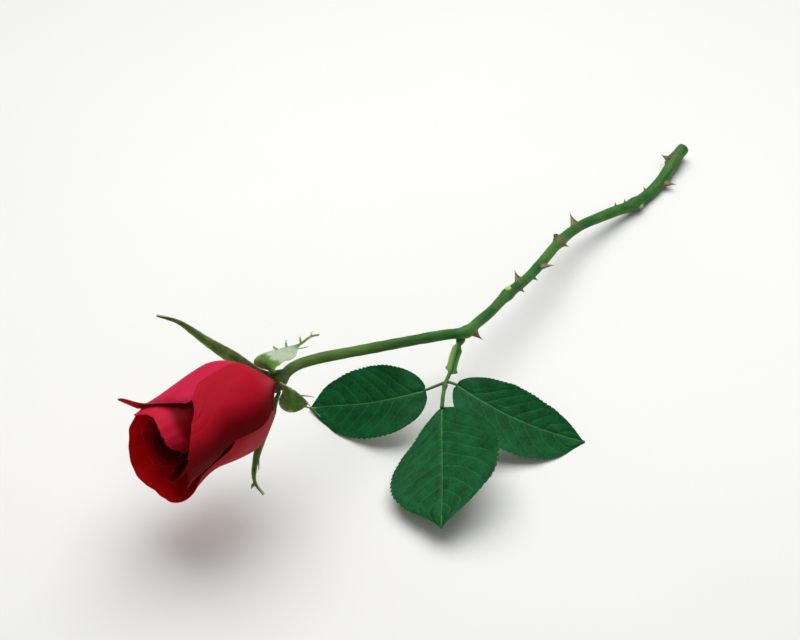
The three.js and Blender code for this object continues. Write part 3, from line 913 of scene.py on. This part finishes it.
def build_prickles(settings):
    """All prickles, each set on the stem at its own place, turn and size."""
    material = look("rose_prickle")
    points, turns, sizes = [], [], []
    for share, angle, size in PRICKLES:
        foot, along, out = stem_spot(share, angle, stem_radius, 0.1)
        points.append(foot.tolist())
        axes = Matrix((along, np.cross(out, along), out)).transposed()
        turns.append(tuple(axes.to_euler()))
        sizes.append(size)
    made = bpy.data.meshes.new("prickle_places")
    made.from_pydata(points, [], [])
    store(made, "turn", turns)
    store(made, "size", sizes)
    source = bpy.data.objects.new("prickle_source", prickle_shape())
    bpy.context.scene.collection.objects.link(source)
    plain = run_group(made, scatter_group(source), {
        "Size": settings.size, "Seed": settings.seed, "Material": material})
    bpy.data.objects.remove(source)
    held = (coordinates(plain) + SHIFT) / 1000
    plain.vertices.foreach_set("co", held.astype(np.float32).ravel())
    finish_mesh(plain)
    nodes = [f"prickle_{number:02d}" for number in range(1, len(PRICKLES) + 1)]
    return place("rose_prickles", plain, material, "prickle", nodes)


# ---------------------------------------------------------------- leaf

STALK_ROUTE = (
    (-13.4, -43.6, 22.6), (-17.8, -45.4, 21.6), (-23.7, -48.2, 21.0), (-30.1, -51.8, 20.0),
    (-33.7, -53.1, 19.0), (-37.9, -55.4, 17.4), (-43.8, -59.6, 15.9),
)
SIDE_STALKS = (
    ((-33.7, -53.1, 19.0), (-37.6, -52.4, 19.5), (-43.2, -50.0, 19.0)),
    ((-33.7, -53.1, 19.0), (-33.3, -54.7, 19.4), (-32.3, -57.6, 19.1)),
)


def build_leaf_stalk(settings):
    """The leaf's stalk with its winged foot and the leaflets' own short stalks."""
    material = look("rose_stem")
    stalk = Course(STALK_ROUTE)

    def radius(t):
        foot = 1.1 * (1 - smooth(t, 0, 0.12))
        knot = 0.35 * bell(t, 0.70, 0.03)
        return (0.78 + foot + knot) * settings.thickness

    branches = [(stalk, radius, lambda t: 0.3 + 0.3 * bell(t, 0.7, 0.05))]
    for points in SIDE_STALKS:
        branches.append((Course(points), lambda t: 0.62 - 0.1 * t, lambda t: 0.45 - 0.1 * t))
    body = Body()
    take(body, swept(branches, STALK_STEPS, material), inside=0.3)

    for turn, lean in ((1, 0.5), (-1, -0.2)):
        def wing(u, v, turn=turn, lean=lean):
            t = 0.04 + 0.46 * v
            along = stalk.along(t)
            side = unit(np.cross(along, np.array((0.3, -0.2, 1.0))))
            up = np.cross(side, along)
            ear = 0.6 * bell(v, 0.98, 0.05) + 0.4 * bell(v, 0.02, 0.1)
            reach = (0.5 + 1.5 * smooth(v, 0, 0.3) + ear) * (u + 1) / 2
            reach = reach * (1 - smooth(v, 0.93, 1.0) * (1 - u) / 2)
            return (stalk.at(t) + side * (turn * reach)[..., None]
                    + up * (lean + 0.28 * reach**2 - 0.2)[..., None] + along * ear[..., None])
        body.sheet(wing, WING_GRID, lambda u, v: np.full_like(u, WING_WALL),
                   lambda u, v: 0.16 - 0.1 * (u + 1) / 2, 24, 3)
    made = body.mesh("rose_leaf_stalk")
    return place("rose_leaf_stalk", made, material, "stem", ["leaf_stalk"])


# Each leaflet: midrib, direction of its first side, half widths and widest places of its two
# sides, cup, how late it tapers, teeth, vein pairs and seed.
LEAFLETS = {
    "leaflet_left": dict(
        midrib=((-42.5, -50.6, 19.0), (-50.0, -43.4, 16.5), (-56.6, -33.7, 12.2),
                (-60.7, -24.2, 8.2), (-63.5, -16.0, 4.6), (-65.8, -9.3, 1.1)),
        side=(0.6, 0.52, 0.58), widths=(14.6, 14.6), widest=(0.42, 0.42), cup=1.0,
        taper=14, teeth=27, pairs=7, seed=3),
    "leaflet_right": dict(
        midrib=((-32.4, -57.0, 19.0), (-31.3, -67.4, 17.0), (-27.1, -78.6, 12.5),
                (-21.1, -88.9, 7.7), (-13.9, -98.3, 3.3), (-8.9, -104.0, 0.5)),
        side=(-0.6, -0.4, -0.42), widths=(15.0, 11.8), widest=(0.47, 0.44), cup=3.2,
        taper=14, teeth=30, pairs=7, seed=8),
    "leaflet_end": dict(
        midrib=((-43.3, -59.2, 15.8), (-51.2, -65.7, 15.8), (-63.4, -76.3, 15.0),
                (-76.4, -87.4, 13.0), (-85.2, -94.6, 11.0), (-89.5, -98.0, 9.0)),
        side=(-0.65, 0.75, -0.42), widths=(21.8, 24.6), widest=(0.64, 0.52), cup=1.5,
        taper=7, teeth=32, pairs=8, seed=5),
}


def build_leaflet(node, settings):
    """One leaflet: toothed outline, sunken veins, blade raised between them."""
    shape = LEAFLETS[node]
    midrib = Course(shape["midrib"])
    side = np.array(shape["side"])
    width = max(shape["widths"])
    powers = [math.log(0.5) / math.log(widest) for widest in shape["widest"]]
    length = midrib.length

    def inset(v):
        """Shares of the midrib, from just inside one of its ends to just inside the other."""
        return 0.006 + 0.988 * v

    def from_vein(u, v):
        """Distance in mm from the nearest side vein."""
        sway = 0.008 * waves(v * 3.1 + np.abs(u) * 0.7, shape["seed"])
        ahead = (v * 1.04 - 0.36 * np.abs(u) ** 1.35 * (0.6 + 0.4 * (1 - v))
                 + 0.018 * np.sign(u) + sway)
        cell = ahead * (shape["pairs"] + 1.6)
        return (np.abs(cell - np.round(cell)) / (shape["pairs"] + 1.6) * length
                + 40 * (ahead < 0.02))

    def tone(u, v):
        away = from_vein(u, v)
        half = outline(u, v) * np.abs(u)
        side_vein = np.exp(-((away / 0.42) ** 2)) * (1 - smooth(np.abs(u), 0.72, 0.95))
        rib = np.exp(-((half / (0.55 - 0.3 * v)) ** 2))
        rim = smooth(np.abs(u), 0.985, 1.0) * 0.72
        return np.maximum(np.maximum(side_vein * 0.82, rib), rim)

    def outline(u, v):
        t = inset(v)
        first, second = (half * np.sin(math.pi * t**power) ** 0.6
                         for half, power in zip(shape["widths"], powers))
        return np.where(u > 0, first, second) * (1 - t ** shape["taper"]) + 0.1

    def surface(u, v):
        t = inset(v)
        tangent = midrib.along(t, 0.02)
        across = unit(side - (tangent @ side)[..., None] * tangent)
        up = np.cross(across, tangent)
        saw = (v**0.86 * shape["teeth"]) % 1.0
        depth = 0.034 + 0.02 * waves(v * 2.3 + 0.4 * np.sign(u), shape["seed"] + 30)
        notch = settings.teeth * depth * smooth(v, 0.04, 0.25) * (1 - saw)
        reach = outline(u, v) * u * (1 - notch * smooth(np.abs(u), 0.8, 1.0))
        away = from_vein(u, v)
        bulge = (1 - np.exp(-((away / 1.5) ** 2))) * (1 - smooth(np.abs(u), 0.75, 1.0))
        groove = np.exp(-((np.abs(reach) / 0.9) ** 2))
        ripple = waves(v * 1.5 + np.sign(u) * 0.3, shape["seed"]) * smooth(np.abs(u), 0.5, 1)
        high = (shape["cup"] * (reach / width) ** 2 + settings.relief * LEAF_BULGE * bulge
                - LEAF_GROOVE * groove + LEAF_RIPPLE * ripple)
        return midrib.at(t) + across * reach[..., None] + up * high[..., None]

    body = Body()
    # the sheet grows downwards from its upper face, so that its upper face keeps the detail
    body.sheet(lambda u, v: surface(-u, v), LEAF_GRID,
               lambda u, v: LEAF_WALL - LEAF_THINNING * np.abs(u) ** 3 + 0.25 * bell(u, 0, 0.03),
               lambda u, v: tone(-u, v), length, width)
    made = body.mesh("rose_" + node)
    return place("rose_" + node, made, look("rose_leaf"), "leaf", [node])


# ---------------------------------------------------------------- petals


def lip_flare(angle, height):
    """The broad outward bend of the lowest petal's lip."""
    reach = 3.9 + 1.4 * bell(angle, 99, 20) - 1.2 * smooth(angle, 205, 240)
    return reach * smooth(height, 37, 58) * smooth(angle, 66, 90)


# Petals from the outside in. Each has its layer, middle angle, half angle, heights of its rim
# from one side to the other, how much its mouth draws in, and what bends or curls it. narrow
# is how much it narrows towards its rim, twist how far its upper part turns, and spiral how
# many layers its first side lifts outwards. Some also carry a painted shade that darkens their
# outside where they curve under or lie below other petals' rims.
PETALS = (
    dict(layer=0, angle=-3, half=41, rim=(43.5, 49.6, 54.2, 57.2, 59.6), close=0, twist=22,
         narrow=-0.06, ruffle=0.3, look="petal_outer",
         flare=lambda a, h: 2.4 * smooth(h, 42, 60) * smooth(a, 26, 60)
         + 0.4 * smooth(-a, 24, 42) * smooth(h, 12, 24),
         curl=lambda u, v: 1.0 * smooth(v, 0.94, 1) * smooth(u, 0.6, 1)
         + 0.25 * smooth(v, 0.96, 1),
         # painted shade over the lower side of this outer petal, where it curves under
         painted_shade=lambda u, v: 1.15 * smooth(u * 1.1 + 0.25 * smooth(v, 0.5, 1), -0.05, 0.8)),
    dict(layer=1, angle=-70, half=38, rim=(53, 55.2, 54.8, 51.2, 46), close=0,
         narrow=0, tip=(-0.72, 0.2, 6.0), ruffle=0.12, look="petal_back",
         flare=lambda a, h: 6.5 * smooth(h, 52, 62) * (1 - smooth(np.abs(a + 99), 5, 26)),
         curl=lambda u, v: 0.4 * smooth(v, 0.95, 1),
         # painted shade along its upper rim
         painted_shade=lambda u, v: 0.6 * smooth(v, 0.88, 0.98)),
    dict(layer=1, angle=137, half=105, close=0, narrow=0, ruffle=0.8,
         look="petal_lip", rim=(34, 40, 52, 59, 59.3, 59.6, 58.2, 55, 50), flare=lip_flare,
         curl=lambda u, v: 0.5 * smooth(v, 0.95, 1) * (1 - smooth(np.abs(u), 0.7, 0.9))),
    # painted shade: this petal, deep in the hollow, takes the heart's darkened look
    dict(layer=3, angle=80, half=72, rim=(40, 54, 57, 57, 48), close=0.02, look="petal_heart"),
    dict(layer=4, angle=-165, half=78, rim=(50, 55.5, 55, 53, 43), close=0.06),
    dict(layer=5, angle=-32, half=84, rim=(57, 60.3, 57.6, 59.2, 58.2, 53), close=0.1,
         spiral=3, ruffle=0.4,
         curl=lambda u, v: -0.4 * smooth(v, 0.95, 1),
         # painted shadow below the outer petals' rims and painted shade on its far side
         painted_shade=lambda u, v: np.maximum(1 - smooth(v, 0.87, 0.94), 0.8 * smooth(u, 0.3, 0.9))),
    # painted shade: this petal, deep in the hollow, takes the heart's darkened look
    dict(layer=6, angle=170, half=78, rim=(48, 53, 54, 53, 48), close=0.24, look="petal_heart"),
)
# The innermost petals, all in the heart's look darkened with painted shade.
HEART = tuple(
    dict(layer=7 + step, angle=170 + 137.5 * (step + 1), half=82,
         rim=(46 - step, 51 - step, 52.5 - step, 51 - step, 46 - step),
         close=0.27 + 0.04 * step, look="petal_heart")
    for step in range(7))


def build_petal(number, shape, settings):
    """One petal: a thin curved sheet with a soft rim and a wavy edge."""
    layer = shape["layer"]
    foot = BLOOM_FOOT + LAYER_LIFT * layer + 0.2
    curl = shape.get("curl", lambda u, v: 0.35 * smooth(v, 0.95, 1))
    flare = shape.get("flare", lambda a, h: 0 * a)
    at, spread, extra = shape.get("tip", (0, 1, 0))
    ruffle = settings.ruffle * shape.get("ruffle", 0.6)
    narrow = shape.get("narrow", 0.14)
    spiral = shape.get("spiral", 0)

    def surface(u, v):
        beak = extra * bell(u, at, spread)
        edge = waves((u + 1) * 1.1, 20 + number, 5) * PETAL_EDGE * ruffle
        top = between(shape["rim"], (u + 1) / 2) + (beak + edge) * smooth(v, 0.75, 1)
        height = foot + (top - foot) * v**1.35
        share = (0.34 + 0.66 * smooth(v, 0, 0.55)) * (1 - narrow * smooth(v, 0.7, 1))
        angle = shape["angle"] + shape["half"] * share * u
        angle = angle + shape.get("twist", 0) * smooth(height, 35, 48)
        outwards = smooth(-angle, -25, 72) if spiral else 0 * angle
        mouth = shape["close"] * (1 - outwards)
        radius = layer_radius(layer - spiral * outwards, height, mouth) + flare(angle, height)
        wave = waves((u + 1) * 1.4 + v * 0.3, 60 + number, 4) * smooth(v, 0.78, 1) * PETAL_WAVE
        hollow = waves((u + 1) * 0.6 + v * 0.9, 90 + number, 3)
        dimple = hollow * PETAL_DIMPLE * smooth(v, 0.1, 0.5)
        return bloom_point(angle, height, radius + curl(u, v) + ruffle * wave + dimple)

    def wall(u, v):
        return PETAL_WALL + 0.3 * (1 - smooth(v, 0.0, 0.6)) + 0.06 * (1 - smooth(v, 0.8, 1))

    def tone(u, v):
        """Above 0.5 the outside is paler than usual, partly painted bounce light on the lip;
        below it is darker with painted shade.
        """
        if shape.get("look") == "petal_lip":
            # the lip's paler outer side, partly its own colour and partly painted bounce light
            # from the board
            return 0.5 + 0.5 * smooth(-u, 0.35, 0.75) * (1 - smooth(v, 0.7, 0.95))
        # painted shade: how much the petal's outside is darkened
        return 0.5 - 0.5 * shape.get("painted_shade", lambda a, b: 0 * a)(u, v)

    body = Body()
    grid = PETAL_GRID if number <= len(PETALS) else HEART_GRID
    body.sheet(surface, grid, wall, tone, BLOOM_HEIGHT, shape["half"] * 0.33)
    made = body.mesh(f"rose_petal_{number:02d}")
    material = look(shape.get("look", "petal_inner"))
    return place(f"rose_petal_{number:02d}", made, material, "petal", [f"petal_{number:02d}"])


# ---------------------------------------------------------------- sepals

# Each sepal: its angle, half width, blunt (how late it tapers), fold (how far its halves
# rise beside the midrib), felt (where along it the pale inner face shows outside, past its
# tip for none), its course as pairs of clearance outside the flower and height, and its side
# lobes: place, side, length, lean, width.
SEPALS = (
    dict(angle=-117, width=5.0, blunt=1.4, fold=0.5, felt=(2, 3), lobes=(),
         course=((3.2, 4.2), (9.2, 7.2), (17, 10.8), (22.4, 12.4), (27, 14.4), (30, 19.4))),
    dict(angle=-54, width=6.4, blunt=2.4, fold=0.15, felt=(0.30, 0.36), waist=(0.55, 0.74),
         lobes=((0.52, -1, 4.6, 0.2, 0.8), (0.62, -1, 5.4, 0.5, 0.5), (0.66, 1, 4.4, 0.7, 0.3),
                (0.76, -1, 3.0, 0.6, 0.45), (0.84, 1, 2.4, 0.8, 0.4), (0.9, -1, 2.0, 0.8, 0.3)),
         course=((1.9, 4.4), (4.2, 5), (7.2, 3.2), (7.2, -1), (6, -6.8), (5.6, -13.2),
                 (6.4, -18.5), (5.4, -22.5))),
    dict(angle=50, width=7.2, blunt=4.5, fold=0.4, felt=(2, 3),
         lobes=((0.80, -1, 6.0, 1.2, 0.3), (0.93, 1, 5.0, 1.4, 0.3), (0.97, -1, 7.5, 1.6, 0.3)),
         course=((1.8, 3.2), (5.2, 4), (9.2, 2.6), (12.4, -0.5))),
    dict(angle=115, width=3.6, blunt=1.5, fold=0.6, felt=(2, 3),
         lobes=((0.44, 1, 6.5, 1.1, 0.25), (0.62, -1, 5.0, 0.9, 0.5), (0.86, 1, 3.0, 0.7, 0.7)),
         course=((2.4, 3.6), (2.4, 8), (2.6, 13.5), (5.6, 18.5), (10.3, 21.5), (13.8, 21.7),
                 (19.4, 19.9))),
    dict(angle=172, width=4.6, blunt=1.6, fold=0.5, felt=(2, 3), lobes=(),
         course=((2.4, 3.6), (2.6, 8.5), (4, 17), (5.4, 27), (10.4, 36))),
)


def build_sepal(number, shape):
    """One sepal: a folded tapering blade, green outside and felted inside."""
    spine = Course([(HIP_RADIUS + 0.2, 0.2), *((envelope(height) + clear, height)
                                         for clear, height in shape["course"])])
    width = shape["width"]

    def half_width(v):
        wave = 1 + 0.06 * waves(v * 3, 40 + number)
        waist = 1 - 0.84 * smooth(v, *shape.get("waist", (2, 3)))
        taper = waist * (1 - v ** shape["blunt"])
        return width * (0.5 + 0.5 * smooth(v, 0, 0.28)) * taper * wave + 0.1

    def blade(u, v):
        spot = spine.at(v)
        half = half_width(v)
        ahead = spine.along(v, 0.02)
        out = np.stack([ahead[..., 1], -ahead[..., 0]], axis=-1)
        keel = -shape["fold"] * (1 - np.abs(u)) * smooth(v, 0.1, 0.3) * width * 0.25
        radius = spot[..., 0] - out[..., 0] * keel
        height = spot[..., 1] - out[..., 1] * keel
        turn = np.degrees(half * u / np.maximum(spot[..., 0], 10))
        return bloom_point(shape["angle"] + turn, height, radius)

    def tone(u, v):
        rim = np.clip(np.abs(u) ** 2.5 + 0.25 * waves(v * 4, number), 0, 1)
        rim = rim * (1 if shape["felt"][0] > 1 else 0.4)
        return rim * (1 - 0.6 * smooth(v, 0.6, 0.9))

    body = Body()
    body.sheet(blade, SEPAL_GRID, lambda u, v: SEPAL_THINNING * np.abs(u) - SEPAL_WALL, tone,
               spine.length, width)
    low, high = shape["felt"]
    v = body.values["skin"][0][:, 1] / spine.length
    felt = smooth(v - 0.04 * waves(body.values["skin"][0][:, 0] * 0.1, 4), low, high)
    felt = felt * (1 - smooth(v, 0.62, 0.72))
    body.values["inside"][0] = np.maximum(body.values["inside"][0] * (low > 1), felt)
    for where, side, long, lean, wide in shape["lobes"]:
        def lobe(u, v, where=where, side=side, long=long, lean=lean, wide=wide):
            at = np.array([[where]])
            root = blade(np.array([[side * 0.8]]), at)[0, 0]
            ahead = unit(blade(np.array([[side * 0.8]]), at + 0.02)[0, 0] - root)
            across = unit(root - blade(np.array([[0.0]]), at)[0, 0])
            course = unit(across + ahead * lean)
            flat = unit(ahead - course * (ahead @ course))
            bend = 0.16 * long * v**2
            size = wide * (1 - v**1.5) * (0.6 + 0.4 * smooth(v, 0, 0.3)) + 0.06
            return (root + course * (long * v)[..., None] + flat * (size * u + bend)[..., None])
        body.sheet(lobe, LOBE_GRID, lambda u, v: np.full_like(u, LOBE_WALL),
                   lambda u, v: np.full_like(u, 0.2), long, wide)
        felt = 0.55 if wide < 0.35 else 0.1
        body.values["inside"][-1] = np.full_like(body.values["inside"][-1], felt)
    made = body.mesh(f"rose_sepal_{number}")
    return place(f"rose_sepal_{number}", made, look("rose_sepal"), "sepal", [f"sepal_{number}"])


# ---------------------------------------------------------------- stage


def aim(thing, spot, direction):
    """Adds a camera or a lamp at a spot, looking in a direction."""
    thing.location = spot
    thing.rotation_mode = "QUATERNION"
    thing.rotation_quaternion = direction.to_track_quat("-Z", "Y")
    bpy.context.scene.collection.objects.link(thing)


def build_stage(settings):
    """White board, soft light from above and behind, and the camera."""
    scene = bpy.context.scene
    low, high = FRAME_BOUNDS
    centre = (Vector(low) + Vector(high)) / 2
    bpy.ops.mesh.primitive_grid_add(x_subdivisions=8, y_subdivisions=8, size=FLOOR_SIZE)
    floor = bpy.context.object
    floor.name = "board"
    floor.data.materials.append(look("pale_board"))

    back = Vector((math.sin(CAMERA_AZIMUTH) * math.cos(CAMERA_ELEVATION),
                   -math.cos(CAMERA_AZIMUTH) * math.cos(CAMERA_ELEVATION),
                   math.sin(CAMERA_ELEVATION)))
    target = Vector(SHIFT.tolist()) / 1000  # the plant's origin
    lens = bpy.data.cameras.new("camera")
    lens.lens = CAMERA_LENS
    lens.sensor_width = SENSOR_WIDTH
    lens.clip_start = 0.02
    lens.clip_end = 20.0
    camera = bpy.data.objects.new("camera", lens)
    aim(camera, target + back * CAMERA_DISTANCE, -back)
    scene.camera = camera
    scene.view_settings.view_transform = "Standard"

    away = Vector((-back.x, -back.y, 0)).normalized()
    for name, offset, rise, size, key in LIGHTS:
        light = bpy.data.lights.new(name, "AREA")
        light.shape = "SQUARE"
        light.size = size
        light.energy = getattr(settings, key)
        lamp = bpy.data.objects.new(name, light)
        spot = centre + away * offset + Vector((0, 0, rise))
        aim(lamp, spot, centre - spot)
    world = bpy.data.worlds.new("soft_room")
    world.use_nodes = True
    sky = world.node_tree.nodes["Background"]
    sky.inputs["Color"].default_value = (1.0, 1.0, 0.985, 1.0)
    sky.inputs["Strength"].default_value = settings.room_light
    scene.world = world


# ---------------------------------------------------------------- add-on


def factor(label, description):
    """A setting that multiplies a size."""
    return bpy.props.FloatProperty(name=label, description=description, default=1.0)


class RoseStemSettings(bpy.types.PropertyGroup):
    """Sizes of the stem and of the leaf's stalk."""

    thickness: factor("Thickness", "Factor on the radius of stem and stalk")
    relief: factor("Relief", "How uneven the stem's bark is")


class RosePrickleSettings(bpy.types.PropertyGroup):
    """Sizes of the prickles."""

    size: factor("Size", "Factor on the size of every prickle")
    seed: bpy.props.IntProperty(
        name="Seed", description="Seed of the prickles' small differences", default=7)


class RoseLeafSettings(bpy.types.PropertyGroup):
    """Shape of the leaflets."""

    teeth: factor("Teeth", "Depth of the teeth along the margin")
    relief: factor("Relief", "How far the blade rises between its veins")


class RosePetalSettings(bpy.types.PropertyGroup):
    """Shape of the petals."""

    ruffle: factor("Ruffle", "How wavy the rims of the petals are")


class RoseStageSettings(bpy.types.PropertyGroup):
    """Light of the stage."""

    top_power: bpy.props.FloatProperty(
        name="Top light", description="Power of the light above", default=27.5, unit="POWER")
    front_power: bpy.props.FloatProperty(
        name="Front light", description="Power of the light in front", default=2.0,
        unit="POWER")
    room_light: bpy.props.FloatProperty(
        name="Room light", description="Strength of the light from all sides", default=0.22)


class ROSE_OT_stem(bpy.types.Operator):
    """Build the stem with its nodes, buds and hip"""

    bl_idname = "rose.stem"
    bl_label = "Stem"

    def execute(self, context):
        build_stem(context.scene.rose_stem)
        return {"FINISHED"}


class ROSE_OT_prickles(bpy.types.Operator):
    """Set the prickles on the stem"""

    bl_idname = "rose.prickles"
    bl_label = "Prickles"

    def execute(self, context):
        build_prickles(context.scene.rose_prickle)
        return {"FINISHED"}


class ROSE_OT_leaf(bpy.types.Operator):
    """Build the leaf's stalk and its three leaflets"""

    bl_idname = "rose.leaf"
    bl_label = "Leaf"

    def execute(self, context):
        build_leaf_stalk(context.scene.rose_stem)
        for node in LEAFLETS:
            build_leaflet(node, context.scene.rose_leaf)
        return {"FINISHED"}


class ROSE_OT_petals(bpy.types.Operator):
    """Build the petals from the outside in"""

    bl_idname = "rose.petals"
    bl_label = "Petals"

    def execute(self, context):
        for number, shape in enumerate(PETALS + HEART, start=1):
            build_petal(number, shape, context.scene.rose_petal)
        return {"FINISHED"}


class ROSE_OT_sepals(bpy.types.Operator):
    """Build the five sepals"""

    bl_idname = "rose.sepals"
    bl_label = "Sepals"

    def execute(self, context):
        for number, shape in enumerate(SEPALS, start=1):
            build_sepal(number, shape)
        return {"FINISHED"}


class ROSE_OT_stage(bpy.types.Operator):
    """Build the board, the lights and the camera"""

    bl_idname = "rose.stage"
    bl_label = "Stage"

    def execute(self, context):
        build_stage(context.scene.rose_stage)
        return {"FINISHED"}


class ROSE_PT_panel(bpy.types.Panel):
    """Sidebar panel with every size and every step"""

    bl_idname = "ROSE_PT_panel"
    bl_label = "Cut Rose"
    bl_space_type = "VIEW_3D"
    bl_region_type = "UI"
    bl_category = "Rose"

    def draw(self, context):
        for key, operators in STEPS:
            box = self.layout.box()
            group = getattr(context.scene, key)
            for name in group.__annotations__:
                box.prop(group, name)
            for operator in operators:
                box.operator(operator)


GROUPS = {
    "rose_stem": RoseStemSettings,
    "rose_prickle": RosePrickleSettings,
    "rose_leaf": RoseLeafSettings,
    "rose_petal": RosePetalSettings,
    "rose_stage": RoseStageSettings,
}
STEPS = (
    ("rose_stem", ("rose.stem",)),
    ("rose_prickle", ("rose.prickles",)),
    ("rose_leaf", ("rose.leaf",)),
    ("rose_petal", ("rose.petals", "rose.sepals")),
    ("rose_stage", ("rose.stage",)),
)
CLASSES = (*GROUPS.values(), ROSE_OT_stem, ROSE_OT_prickles, ROSE_OT_leaf, ROSE_OT_petals,
           ROSE_OT_sepals, ROSE_OT_stage, ROSE_PT_panel)


def register():
    for item in CLASSES:
        bpy.utils.register_class(item)
    for key, item in GROUPS.items():
        setattr(bpy.types.Scene, key, bpy.props.PointerProperty(type=item))


def unregister():
    for key in GROUPS:
        delattr(bpy.types.Scene, key)
    for item in reversed(CLASSES):
        bpy.utils.unregister_class(item)


def main():
    register()
    bpy.ops.rose.stem()
    bpy.ops.rose.prickles()
    bpy.ops.rose.leaf()
    bpy.ops.rose.petals()
    bpy.ops.rose.sepals()
    bpy.ops.rose.stage()


if __name__ == "__main__":
    main()
